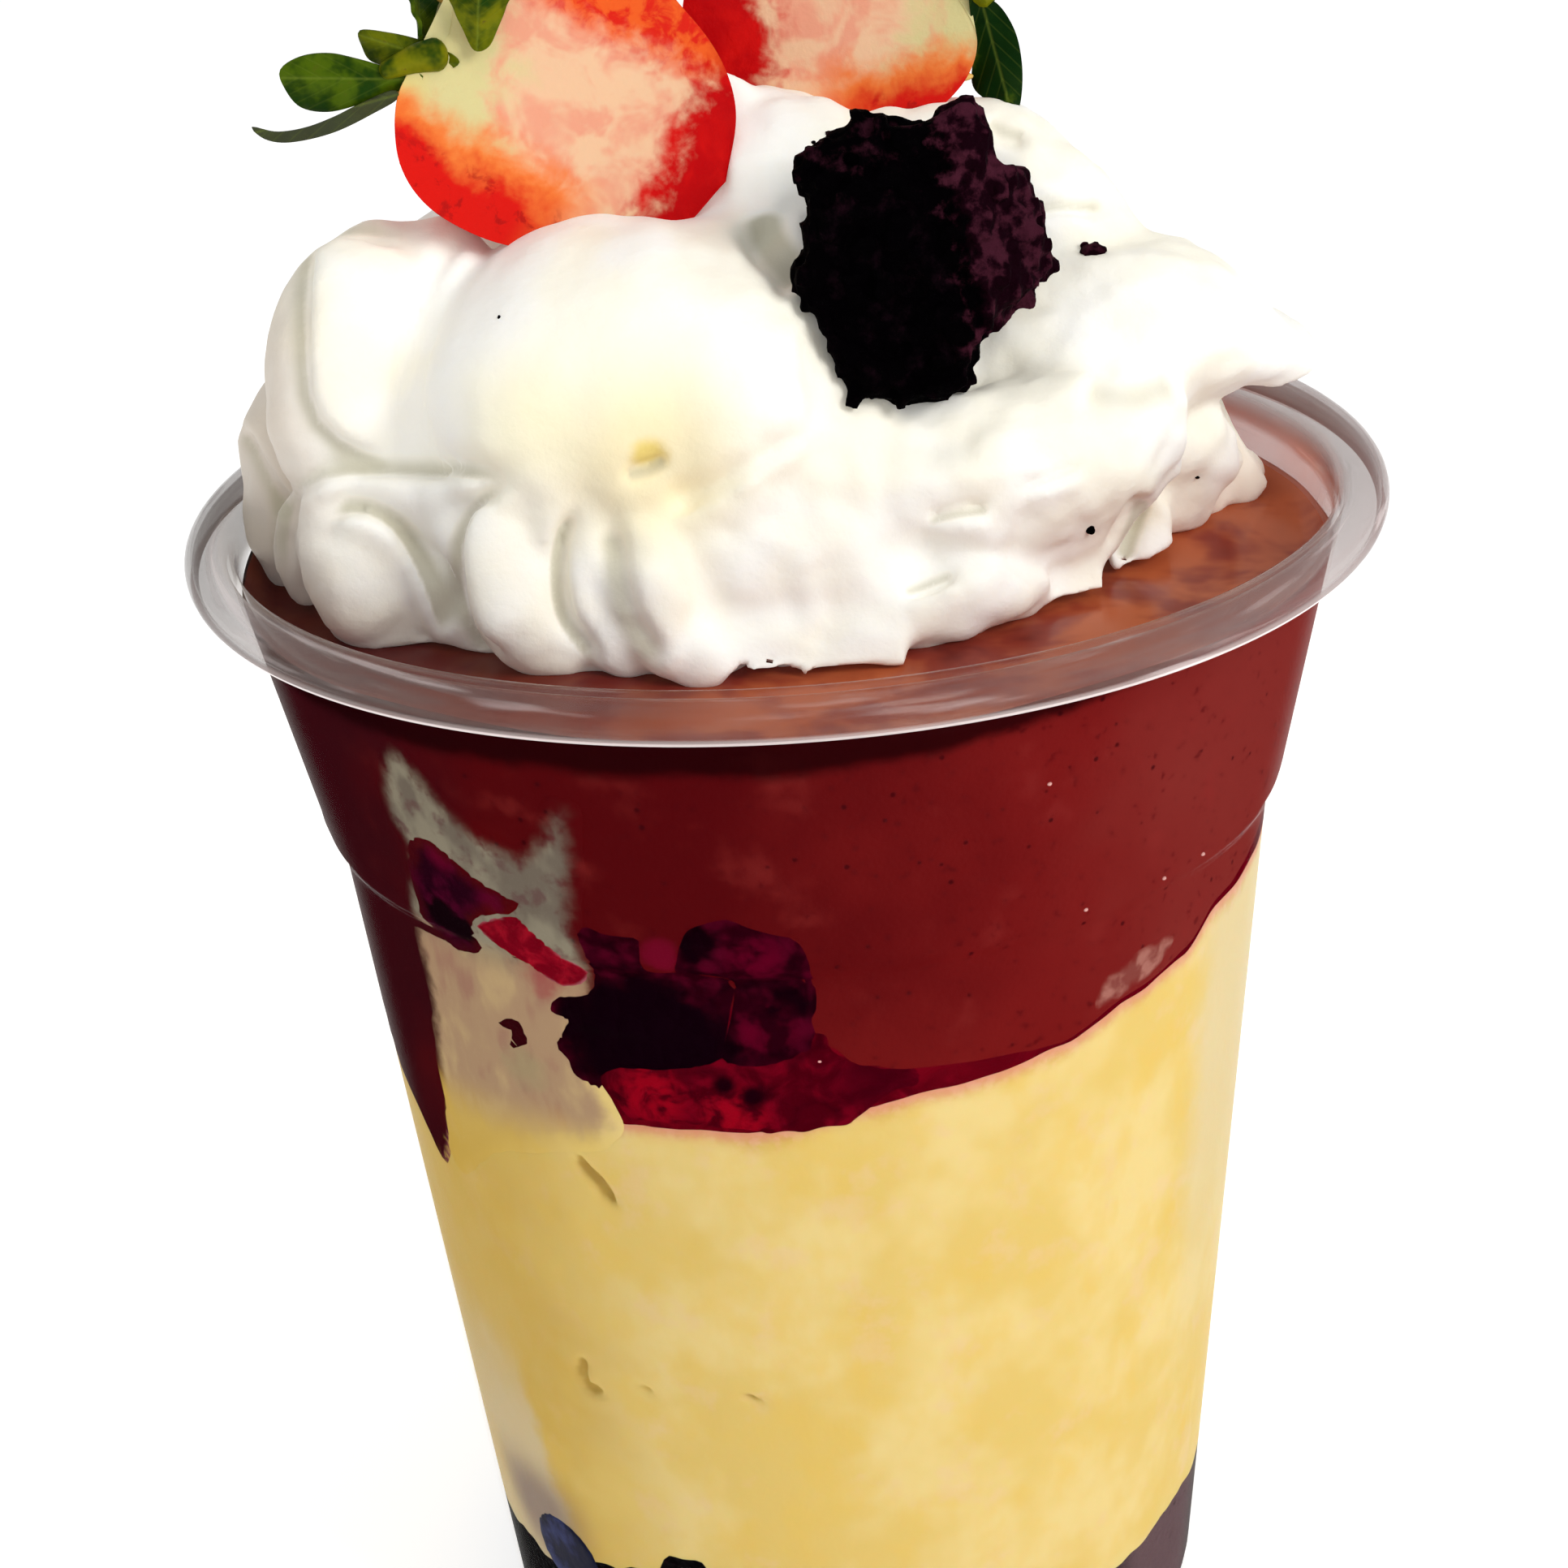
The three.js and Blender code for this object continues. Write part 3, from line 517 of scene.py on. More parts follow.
def clearPlastic():
    f = Finish("clearPlastic")
    x, y, z = f.parts()
    facing = f.node("ShaderNodeLayerWeight", {}, {"Blend": 0.5}, "Facing")
    turn = f.azimuth()
    radius = (x * x + y * y) ** 0.5
    lines = f.node("ShaderNodeCombineXYZ", {}, {0: x * 0.06, 1: radius * 0.7 + y * 0.06, 2: z * 0.7})
    # thin bright lines round the lip: painted highlight streaks
    streak = f.step(f.speckle(1, 2, 0.5, 0, lines), 0.6, 0.72)
    # orange-brown patches on the lip's front: the mousse behind, painted in as refraction through the curl
    tinge = f.step(f.speckle(1, 3, 0.6, 0, f.stretched(0.6, 2, 2, lines)), 0.43, 0.56)
    soft = f.speckle(10, 2, 0.5)
    lip = f.step(z, 103.2, 104.2)
    # a thin film of mousse on the bare wall at the right
    film = f.step(z, 100, 101) * f.step(z, 107, 103) * f.step(turn, -25, 5) * f.step(turn, 80, 55)
    aside = (x * x) ** 0.5 / cup["rimRadius"]
    # a painted highlight line along the lip's lower outer edge: paler tone and more opaque
    rimHighlight = f.step(z, 104.95, 104.7) * f.step(radius, 47.5, 47.9)
    share = 0.001 + 0.3 * f.step(facing, 0.7, 1.05) ** 2
    share = share + lip * (0.07 * soft + 0.42 * aside + 0.15 * facing ** 3 + 0.16 * streak + 0.5 * rimHighlight)
    share = share + film * (0.42 + 0.3 * soft)
    side = f.blend((112, 100, 94), (140, 116, 112), f.step(x, -10, 20))
    tone = f.coats(
        (246, 242, 236), ((126, 100, 98), lip),
        (side, aside * lip),
        ((136, 56, 28), tinge * lip * (1 - aside)),
        ((244, 230, 228), streak * lip * 0.6),
        ((236, 222, 220), rimHighlight * lip),
        ((226, 160, 148), film))
    shiny = f.node("ShaderNodeBsdfPrincipled", {}, {
        "Base Color": tone, "Metallic": (1 - lip) * (1 - film), "Roughness": 0.08 + 0.15 * streak,
        "Specular IOR Level": 0.3, "Normal": f.relief(streak, 0.03)})
    clear = f.node("ShaderNodeBsdfTransparent", {}, {"Color": (0.99, 0.985, 0.98, 1)})
    return f.shown(f.node("ShaderNodeMixShader", {}, {0: share, 1: clear, 2: shiny}))


finished(makeCup(), clearPlastic(), "clear_plastic", "cup", angle=40)
print("cup made")


# Layers

edges = {
    # heights on the wall, as azimuth and height: -90 is the front, 0 the right side
    "base": [(-168, 15), (-158, 15.6), (-149, 15.2), (-140, 17), (-130, 19.4), (-121, 21.2),
             (-119, 22.8), (-113.5, 23.2), (-111, 21.4), (-106, 21), (-95, 18.5), (-75, 15),
             (-45, 14.2), (-32, 15.6), (-10, 15.2), (35, 15), (70, 20), (110, 16), (150, 18)],
    "custard": [(-165, 66), (-150, 62), (-137, 64), (-124, 70), (-117, 68), (-100, 68.2),
                (-85, 69.8), (-77, 70.6), (-62, 71.6), (-50, 73.6), (-42, 74.6), (-34, 77),
                (-10, 78), (25, 75), (60, 73.5), (90, 76.5), (125, 73), (155, 75)],
    "jelly": [(-165, 71), (-150, 68), (-137, 74), (-124, 76.5), (-118, 80.5), (-106, 80.5),
              (-96, 79), (-90, 76), (-86, 73.8), (-80, 73), (-70, 72.6), (-62, 72.2), (-50, 74.2),
              (-42, 75.3), (-34, 77.8), (-10, 80.5), (25, 79.5), (60, 76), (90, 81), (125, 78),
              (155, 79.5)],
}
mousseTop = 100.6


def smoothStepThrough(turn, height, wanted):
    place = np.clip(np.searchsorted(turn, wanted, side="right") - 1, 0, len(turn) - 2)
    share = (wanted - turn[place]) / (turn[place + 1] - turn[place])
    return height[place] + (height[place + 1] - height[place]) * share * share * (3 - 2 * share)


def edgeHeight(name, azimuth, share, ragged):
    # the boundary's height: even in the middle of the cup, as listed at the wall
    listed = sorted(edges[name])
    listed = [(listed[-1][0] - 360, listed[-1][1]), *listed, (listed[0][0] + 360, listed[0][1])]
    turn, height = np.array(listed, dtype=float).T
    mean = float(np.mean([h for _, h in edges[name]]))
    wall = smoothStepThrough(turn, height, azimuth)
    ring = np.stack([40 * np.cos(np.radians(azimuth)), 40 * np.sin(np.radians(azimuth)),
                     np.full_like(azimuth, mean)], axis=1)
    wall = wall + ragged * (grain(ring, 5, 7) + 0.6 * grain(ring, 1.9, 8))
    return mean + (wall - mean) * share


layers = {
    # each layer is spun flat between two heights: these, its rows' height and its segments, and
    # how far it stands proud of the others
    "baseCrumb": (4.7, 17.7, 0.7, 280, 0),
    "custardLayer": (17.7, 73, 0.62, 340, 0.012),
    "jellyLayer": (73, 76.9, 0.35, 340, 0.024),
    "mousseLayer": (76.9, mousseTop, 0.8, 280, 0.036),
}
overlap = 12    # how far a layer reaches below its lower boundary, for each mm that it stands proud


def layer(name, lower, upper, rings=(0.75, 0.5, 0.25, 0), floorLine=None):
    # a body spun flat and then drawn to its two boundaries
    low, high, row, segments, proud = layers[name]
    heights = np.linspace(low, high, max(int((high - low) / row), 3))
    line = floorLine or [(float(fillRadius(low)) * s, low) for s in np.linspace(0, 1, 4)[:-1]]
    line = line + [(float(fillRadius(z)), float(z)) for z in heights]
    line += [(float(fillRadius(high)) * s, high) for s in rings]
    piece = spun(name, line, segments)
    flat = pointsOf(piece)
    onTop = (flat[:, 2] > high - 0.001) & (polar(flat)[1] < 0.998 * fillRadius(high))
    keep(piece, "onTop", np.where(onTop, 1, 0))

    def draw(points):
        azimuth, radius = polar(points)
        flat = np.clip(points[:, 2], low, high)
        wide = fillRadius(flat)
        share = np.clip(radius / wide, 0, 1)
        part = (flat - low) / (high - low)
        start = lower(azimuth, share) - overlap * proud
        z = start + part * (upper(azimuth, share) - start)
        above = points[:, 2] >= low - 0.002
        z = np.where(above, z, points[:, 2])
        return widened(points, np.where(above, (fillRadius(z) + proud) / wide, 1), z)

    return movePoints(piece, draw)


def even(z):
    return lambda azimuth, share: np.full_like(azimuth, z)


def edge(name, ragged=0.25):
    return lambda azimuth, share: edgeHeight(name, azimuth, share, ragged)


smear = {
    # the mousse wets the wall up to the lip at the front and the left, and less elsewhere
    "height": 2.8,
    "back": 0.6,
    "from": 0.962,
}


def mousseSurface(azimuth, share):
    turn = np.radians(azimuth)
    wave = 0.25 * np.sin(turn * 5) + 0.12 * np.sin(turn * 11 + 1)
    shown = np.maximum(rise(-0.1, 0.35, -np.sin(turn)), rise(0.3, 0.8, -np.cos(turn)))
    height = smear["back"] + (smear["height"] - smear["back"]) * shown
    climb = height * np.clip((share - smear["from"]) / (1 - smear["from"]), 0, 1) ** 1.6
    return mousseTop + wave * share + climb


pits = [
    # small hollows in the custard at the wall: a line of pixels, half width and depth
    {"seen": [(714, 1436), (722, 1448), (738, 1462), (746, 1478)], "half": 0.55, "deep": 0.9},
    {"seen": [(714, 1682), (713, 1696), (722, 1712), (732, 1716)], "half": 0.5, "deep": 0.8},
    {"seen": [(784, 1710), (792, 1712), (800, 1720)], "half": 0.3, "deep": 0.4},
    {"seen": [(920, 1722), (930, 1727), (940, 1726)], "half": 0.3, "deep": 0.5},
]


def dented(piece):
    points = pointsOf(piece)
    azimuth, radius = polar(points)
    flat = np.stack([np.radians(azimuth) * flatRadius, points[:, 2]], axis=1)
    deep = np.zeros(len(points))
    for pit in pits:
        for middle in smoothLine([onSheet(*place) for place in pit["seen"]], 8):
            apart = np.linalg.norm(flat - middle, axis=1) / pit["half"]
            deep = np.maximum(deep, pit["deep"] * np.exp(-apart ** 2))
    deep = np.where(radius > 0.97 * fillRadius(points[:, 2]), deep, 0)    # at the wall alone
    keep(piece, "pit", deep)
    return movePoints(piece, lambda points: widened(points, 1 - deep / np.maximum(radius, 1)))


floorLine = [(0, 1.9), (14, 1.9), (23.9, 1.9), (25.1, 0.3), (27.6, 0.3)]
floorLine += wallOutline(cup["wall"] - cup["reach"], [])
fineRings = [0.996, 0.99, 0.983, 0.975, 0.966, 0.955, *np.linspace(0.94, 0, 38)]
crumbTop = edge("base", 0.7)
baseCrumb = layer("baseCrumb", even(layers["baseCrumb"][0]), crumbTop, floorLine=floorLine)
custardLayer = layer("custardLayer", crumbTop, edge("custard"))
jellyLayer = layer("jellyLayer", edge("custard"), edge("jelly"))
mousseLayer = layer("mousseLayer", edge("jelly"), mousseSurface, fineRings)
dented(custardLayer)
print("layers made")


def brownieFinish():
    f = Finish("darkBrownie")
    x, _, z = f.parts()
    coarse = f.speckle(2.2, 5, 0.65)
    fine = f.cells(0.6)
    block = f.cells(1.3)
    # the piece's right side, and its top where lit, are painted lighter: painted light from the right and
    # above
    side = f.step(x + 0.16 * (z - 128) + 7 * (coarse - 0.5) + 2 * (block - 0.4), 14.2, 16)
    side = side * f.step(z, 108, 112)
    top = f.step(z + 4 * (coarse - 0.5), 133.5, 136.5)
    turn = f.azimuth()
    low = f.step(z, 30, 24) * f.step(turn, -52, -40) * f.step(turn, -10, -26)
    lit = f.step(coarse, 0.5, 0.72)
    dark = f.blend((1, 0, 1), (14, 4, 9), lit)
    light = f.blend((20, 2, 9), (62, 24, 37), f.step(coarse + 0.3 * (block - 0.4), 0.48, 0.66))
    colour = f.coats(
        dark, (light, 0.9 * side + 0.45 * top * lit),
        ((104, 82, 86), low * 0.8),
        ((44, 18, 22), f.step(z, 30, 24) * f.step(block, 0.34, 0.2) * lit * 0.8))
    return f.surface(colour, 0.7 + 0.25 * fine, (coarse + 0.4 * fine, 0.4), 0.02)


def custardColour(f):
    z = f.parts()[2]
    turn = f.azimuth()
    cloud = f.speckle(12, 3, 0.55)
    patch = f.speckle(5.5, 3, 0.6, 0, f.stretched(1, 1, 0.7))
    tint = f.speckle(4.5, 4, 0.6)
    shade = f.step(f.toward(-162) + 0.5 * (cloud - 0.5), 0.69, 0.94)
    # the paler band where the custard stands off the wall, at the left and the right
    leftEdge = -137 - 0.28 * (z - 25)
    band = f.step(turn + 9 * (tint - 0.5), leftEdge, leftEdge - 5)
    fade = f.step(z + 16 * (cloud - 0.5), 46, 26) * f.step(turn + 22 * (cloud - 0.5), -178, -152)
    haze = f.near(664, 1856, 2, 9, cloud) * f.step(z, 30, 22)
    right = f.step(turn + 7 * (tint - 0.5), -40, -32) * f.step(turn + 9 * (cloud - 0.5), 8, -14)
    return f.coats(
        (212, 183, 104), ((219, 195, 129), f.step(cloud, 0.4, 0.62)),
        ((215, 181, 90), f.step(patch, 0.46, 0.72) * 0.55),
        ((218, 186, 140), f.step(tint, 0.54, 0.7) * 0.45),
        ((190, 154, 66), shade * 0.75),
        ((198, 180, 144), band * fade * 0.85),
        ((116, 98, 98), haze * 0.75),
        ((208, 190, 146), right * f.step(z, 24, 60) * 0.85))


def custardFinish():
    f = Finish("custard")
    patch = f.speckle(5, 3, 0.55)
    fine = f.speckle(1.1, 3, 0.6)
    fromTop = f.kept("fromTop")
    top = f.step(fromTop + 3.4 * (patch - 0.5), 2.4, 0.1)
    tinge = f.blend((186, 146, 62), (206, 146, 126), f.step(fine, 0.42, 0.58))
    pink = f.step(fromTop + 1.2 * (fine - 0.5), 1.8, 0.1)
    body = f.coats(
        custardColour(f), (tinge, top * 0.55),
        ((206, 126, 112), pink * 0.75),
        # painted shade in the pits, deeper pits darker
        ((172, 136, 56), f.step(f.kept("pit"), 0.12, 0.5) * 0.7))
    return f.surface(body, 0.5 + 0.2 * patch, (patch + 0.1 * fine, 0.2), 0.04,
                     {"Subsurface Weight": 0.2, "Subsurface Scale": 0.002})


def mousseColour(f):
    z = f.parts()[2]
    front = f.toward(-128)
    cloud = f.speckle(14, 2, 0.5)
    patch = f.speckle(4.5, 3, 0.6)
    seed = f.speckle(0.9, 2, 0.6)
    fleck = f.cells(2.1)
    shadow = f.step(z + 1.6 * (patch - 0.5) - 3 * f.step(front, 0.84, 0.12), 99.6, 101)
    return f.coats(
        (77, 6, 10), ((106, 19, 19), f.step(front + 0.8 * (cloud - 0.5), 0.96, 0.41)),
        ((118, 42, 38), f.step(f.toward(10) + 0.6 * (cloud - 0.5), 0.24, 0.69) * 0.7),
        ((122, 36, 34), f.step(patch, 0.56, 0.78) * 0.45),
        ((66, 4, 9), f.step(seed, 0.6, 0.74) * 0.55),
        ((42, 3, 8), f.step(fleck + 0.1 * (seed - 0.5), 0.14, 0.06) * 0.75),
        # painted shade on the far left side
        ((46, 9, 16), f.step(f.toward(-165) + 0.4 * (cloud - 0.5), 0.7, 0.945) * 0.85),
        ((26, 1, 3), shadow * 0.9))


def mousseFinish():
    f = Finish("berryMousse")
    z = f.parts()[2]
    patch = f.speckle(3.2, 4, 0.6)
    veil = f.speckle(1.6, 4, 0.7, 0.6)
    surface = f.step(f.kept("onTop"), 0.3, 0.7)
    syrup = f.speckle(9, 3, 0.55, 0.2)
    notch = f.near(812, 1180, 0.7, 1.9, veil)
    # the run's pale purple fringe over the custard
    fringe = f.step(f.kept("fromEdge") + 1.5 * (veil - 0.5), 1.2, 0.2) * f.step(z, 79, 75)
    fringe = fringe * f.step(f.azimuth(), -153, -148)
    body = f.coats(
        mousseColour(f), ((100, 6, 30), notch),
        (f.blend(custardColour(f), (120, 60, 76), f.step(veil, 0.4, 0.6)), fringe))
    wet = f.coats(
        (178, 90, 52), ((132, 46, 32), f.step(syrup, 0.42, 0.62)),
        ((84, 20, 18), f.step(syrup, 0.6, 0.78) * 0.7),
        ((88, 22, 22), f.step(f.toward(-150), 0.6, 0.95) * 0.8))
    return f.surface(f.blend(body, wet, surface), 0.5 - 0.3 * surface + 0.12 * patch,
                     (0.5 * patch + surface * syrup, 0.15), 0,
                     {"Coat Weight": 0.45 * surface, "Coat Roughness": 0.16})


def jellyFinish():
    f = Finish("berryJelly")
    turn = f.azimuth()
    lump = f.speckle(3.4, 4, 0.6, 0.5)
    bead = f.cells(2.6)
    body = f.coats(
        (74, 0, 11), ((104, 2, 18), f.step(lump, 0.42, 0.66)),
        ((150, 8, 38), f.step(bead, 0.3, 0.08) * f.step(lump, 0.45, 0.6) * 0.7),
        ((46, 0, 8), f.step(lump, 0.42, 0.3) * 0.8),
        ((88, 2, 14), f.step(turn, -82, -74) * f.step(turn, 178, 150) * 0.75))
    return f.surface(body, 0.22 + 0.15 * lump, (lump + 0.5 * bead, 0.4), 0)


points = pointsOf(custardLayer)
azimuth, _ = polar(points)
keep(custardLayer, "fromTop", edge("custard")(azimuth, np.ones_like(azimuth)) - points[:, 2])
brownie = brownieFinish()
finished(baseCrumb, brownie, "brownie", "base_crumb")
finished(custardLayer, custardFinish(), "custard", "custard")
finished(jellyLayer, jellyFinish(), "jelly", "jelly")
print("layer finishes made")


# Pieces against the wall

patches = {
    # outlines as the photo shows them, in its pixels, or on the wall by azimuth and height
    "mousseRun": {
        "wall": [(-172, 84), (-140, 84), (-137.5, 76), (-138.5, 71), (-143, 66), (-145.5, 61.4),
                 (-148.4, 57.6), (-151.2, 55.9), (-156.8, 58.9), (-166, 62.4), (-172, 70)],
        "depth": 4, "proud": 0.1, "ragged": 0.35, "spacing": 1.2},
    "creamPocket": {
        "seen": [(465, 918), (488, 921), (526, 961), (564, 1002), (609, 1035), (638, 1042), (653, 1019),
         (669, 986), (698, 985), (717, 1007), (719, 1069), (716, 1140), (729, 1176), (743, 1203),
         (738, 1238), (725, 1292), (743, 1341), (769, 1390), (743, 1417), (680, 1423), (609, 1421),
         (573, 1448), (551, 1417), (544, 1363), (534, 1310), (525, 1247), (516, 1194), (504, 1144),
         (497, 1082), (490, 1042), (472, 1011), (461, 966)],
        "depth": 4, "proud": 0.12, "ragged": 0.3, "spacing": 0.75},
    "darkBerryLeft": {
        "seen": [(504, 1028), (533, 1037), (564, 1064), (595, 1086), (626, 1104), (642, 1115), (631, 1131),
         (600, 1133), (584, 1140), (596, 1167), (588, 1181), (573, 1179), (551, 1167), (526, 1140),
         (510, 1113), (501, 1082), (497, 1051)],
        "depth": 5, "proud": 0.18, "ragged": 0.15, "spacing": 0.6},
    "strawberrySlice": {
        "seen": [(582, 1140), (597, 1131), (633, 1127), (653, 1144), (680, 1169), (707, 1187), (728, 1198),
         (722, 1214), (698, 1221), (680, 1214), (653, 1196), (626, 1178), (604, 1162)],
        "depth": 3, "proud": 0.2, "ragged": 0.1, "spacing": 0.55},
    "berryCrescent": {
        "seen": [(608, 1257), (622, 1251), (638, 1256), (650, 1274), (652, 1292), (640, 1294), (624, 1298),
         (621, 1285), (626, 1275), (615, 1269)],
        "depth": 2, "proud": 0.18, "ragged": 0.1, "spacing": 0.6},
    "jellyPool": {
        "seen": [(738, 1325), (760, 1316), (787, 1316), (890, 1305), (1006, 1274), (1024, 1296),
         (1055, 1312), (1091, 1318), (1130, 1319), (1130, 1339), (1100, 1346), (1077, 1364), (1055, 1381),
         (1033, 1389), (957, 1398), (876, 1389), (809, 1384), (778, 1380), (758, 1361), (743, 1341)],
        "depth": 4, "proud": 0.15, "ragged": 0.25, "spacing": 0.9},
    "darkBerrySide": {
        "seen": [(671, 1243), (678, 1229), (698, 1224), (718, 1223), (728, 1203), (716, 1176), (705, 1153),
         (720, 1144), (743, 1153), (772, 1156), (785, 1158), (787, 1176), (794, 1198), (832, 1200),
         (845, 1185), (859, 1203), (903, 1211), (899, 1247), (892, 1292), (885, 1310), (850, 1321),
         (787, 1321), (760, 1319), (743, 1328), (738, 1354), (725, 1341), (707, 1332), (693, 1305),
         (678, 1287), (694, 1261), (680, 1254)],
        "depth": 8, "proud": 0.19, "ragged": 0.12, "spacing": 0.7},
    "darkBerryFront": {
        "seen": [(834, 1203), (834, 1176), (843, 1153), (861, 1142), (894, 1135), (921, 1145), (948, 1153),
         (976, 1158), (993, 1179), (1003, 1211), (1007, 1243), (1000, 1259), (1006, 1278), (1010, 1292),
         (988, 1305), (943, 1319), (890, 1314), (894, 1283), (901, 1247), (901, 1211), (859, 1203)],
        "depth": 8, "proud": 0.22, "ragged": 0.12, "spacing": 0.7},
    "creamStreak": {
        "seen": [(1352, 1246), (1361, 1209), (1400, 1176), (1448, 1148), (1452, 1154), (1438, 1181),
         (1408, 1213), (1371, 1238)],
        "depth": 2, "proud": 0.14, "ragged": 0.2, "spacing": 0.7},
}


def plate(name, outline, thick, spacing):
    # a sheet in the plane y = 0, x and z being its own directions, cut into a grid
    bpy.ops.mesh.primitive_circle_add(vertices=len(outline), radius=mm, fill_type="NGON")
    piece = named(name)
    movePoints(piece, lambda _: np.c_[outline[:, 0], np.zeros(len(outline)), outline[:, 1]])
    bpy.ops.object.mode_set(mode="EDIT")
    low, high = outline.min(axis=0), outline.max(axis=0)
    for n, normal in enumerate(((1, 0, 0), (0, 0, 1))):
        for place in np.arange(low[n] + spacing / 2, high[n], spacing):
            bpy.ops.mesh.select_all(action="SELECT")
            bpy.ops.mesh.bisect(plane_co=[place * mm * part for part in normal], plane_no=normal)
    bpy.ops.mesh.select_all(action="SELECT")
    for _ in range(2):
        bpy.ops.mesh.extrude_region_move(TRANSFORM_OT_translate={"value": (0, thick * mm / 2, 0)})
    bpy.ops.object.mode_set(mode="OBJECT")
    return piece


rim = {"proud": 0.03, "wide": 0.5}     # a patch thins out to this towards its edge


def wallPatch(name):
    p = patches[name]
    if "seen" in p:
        outline = np.array([onSheet(*place) for place in p["seen"]])
    else:
        outline = np.array([(math.radians(turn) * flatRadius, z) for turn, z in p["wall"]])
    outline = smoothLine(outline, len(outline) * 7, closed=True)
    places = np.c_[outline, np.zeros(len(outline))]
    outline = outline + p["ragged"] * np.stack([grain(places, 1.5, 3), grain(places, 1.5, 8)], axis=1)
    piece = plate(name, outline, p["depth"], p["spacing"])
    apart, _, _ = nearestOn(pointsOf(piece)[:, [0, 2]], [*outline, outline[0]])
    keep(piece, "fromEdge", apart)

    def wrap(points):
        turn = points[:, 0] / flatRadius
        proud = rim["proud"] + (p["proud"] - rim["proud"]) * np.clip(apart / rim["wide"], 0, 1)
        radius = fillRadius(points[:, 2]) + proud - points[:, 1]
        return np.stack([radius * np.cos(turn), radius * np.sin(turn), points[:, 2]], axis=1)

    return cleaned(movePoints(piece, wrap))


def creamSmearFinish():
    f = Finish("wallCream")
    z = f.parts()[2]
    streak = f.speckle(3.4, 3, 0.5, 0.15, f.stretched(1, 1, 0.5))
    veil = f.speckle(1.9, 4, 0.6, 0.2)
    low = f.step(z + 3 * (streak - 0.5), 84, 79)
    body = f.coats(
        (106, 96, 84), ((166, 136, 106), low),
        ((132, 124, 106), f.step(streak, 0.42, 0.62) * (1 - low)),
        ((90, 56, 58), f.step(veil, 0.5, 0.34) * (1 - low) * 0.6),
        ((190, 164, 118), f.step(streak, 0.5, 0.66) * low * 0.6),
        ((142, 92, 86), f.step(streak, 0.48, 0.32) * low * 0.5),
        ((150, 140, 104), f.near(645, 1315, 0.6, 3, veil) * 0.5),
        ((150, 66, 68), f.near(668, 1206, 0.6, 2.4, veil) * 0.7))
    around = f.blend(mousseColour(f), custardColour(f), f.step(z + 2 * (streak - 0.5), 76, 71))
    leftwards = f.step(f.azimuth() + 3 * (veil - 0.5), -133, -136.5) * f.step(z, 64, 67)
    around = f.blend(around, mousseColour(f), leftwards)
    thin = 1 - f.step(f.kept("fromEdge") + 2 * (veil - 0.5) + 1.2 * (streak - 0.5), -0.1, 2.2) ** 1.8
    bottom = f.step(z + 5 * (streak - 0.5), 68.5, 62.5)
    body = f.blend(f.blend(body, around, thin), custardColour(f), bottom)
    return f.surface(body, 0.5 + 0.2 * streak, (streak + 0.3 * veil, 0.12), 0)


def streakFinish():
    f = Finish("creamStreak")
    fine = f.speckle(1.8, 3, 0.5)
    body = f.blend((118, 58, 52), (152, 98, 88), f.step(fine, 0.4, 0.6))
    thin = f.step(f.kept("fromEdge") + 1.8 * (fine - 0.5), 0.9, 0)
    return f.surface(f.blend(body, mousseColour(f), thin), 0.5 + 0.2 * fine, (fine, 0.1), 0)


def sliceFinish():
    f = Finish("strawberrySlice")
    streak = f.speckle(1.6, 3, 0.6, 0.4)
    body = f.blend((108, 3, 20), (146, 14, 32), f.step(streak, 0.4, 0.7))
    rim = f.step(f.kept("fromEdge") + 0.5 * (streak - 0.5), 0.55, 0.2)
    rim = rim * f.step(f.near(715, 1205, 0.5, 5) + f.near(600, 1136, 0.5, 2.5), 0.1, 0.6)
    body = f.blend(body, (156, 86, 96), rim * 0.9)
    return f.surface(body, 0.3 + 0.2 * streak, (streak, 0.3), 0)


def leftBerryFinish():
    f = Finish("darkBerryLeft")
    lump = f.speckle(1.8, 4, 0.6)
    body = f.coats(
        (34, 2, 16), ((66, 4, 30), f.step(lump, 0.4, 0.7)),
        ((96, 5, 36), f.near(540, 1054, 0.3, 2.2) * 0.8),
        ((92, 5, 40), f.near(604, 1112, 0.3, 1.9) * 0.8),
        ((14, 2, 6), f.spots(lump, (545, 1128, 1.5, 2.3), (572, 1152, 1.2, 2))))
    around = f.step(f.kept("fromEdge") + 2.4 * (lump - 0.5), 1.9, 0.1)
    body = f.blend(body, mousseColour(f), around * f.step(f.near(560, 1140, 1, 2.6), 0.8, 0.2))
    return f.surface(body, 0.3 + 0.2 * lump, (lump, 0.2), 0)


def darkBerryFinish():
    f = Finish("darkBerry")
    lump = f.speckle(2.6, 4, 0.6)
    bead = f.cells(2.3)
    dark = f.spots(lump, (745, 1275, 3.2, 5), (800, 1290, 3.6, 5.4), (860, 1290, 2.6, 4.2),
                   (860, 1165, 1.1, 2.3), (975, 1235, 1, 2.3), (800, 1245, 2.4, 4.4))
    # lighter crimson patches: partly the berries' own red, partly painted glints
    bright = f.spots(lump, (930, 1180, 1.2, 3.2), (945, 1270, 1.4, 3.6))
    body = f.coats(
        (34, 0, 8), ((72, 2, 24), f.step(lump, 0.42, 0.68)),
        ((9, 0, 4), dark * 0.95),
        ((88, 0, 26), bright * f.step(lump, 0.4, 0.62) * 0.7),
        ((10, 0, 4), f.step(bead, 0.56, 0.8) * 0.6))
    return f.surface(body, 0.3 + 0.2 * lump, (0.5 * lump - bead, 0.35), 0)


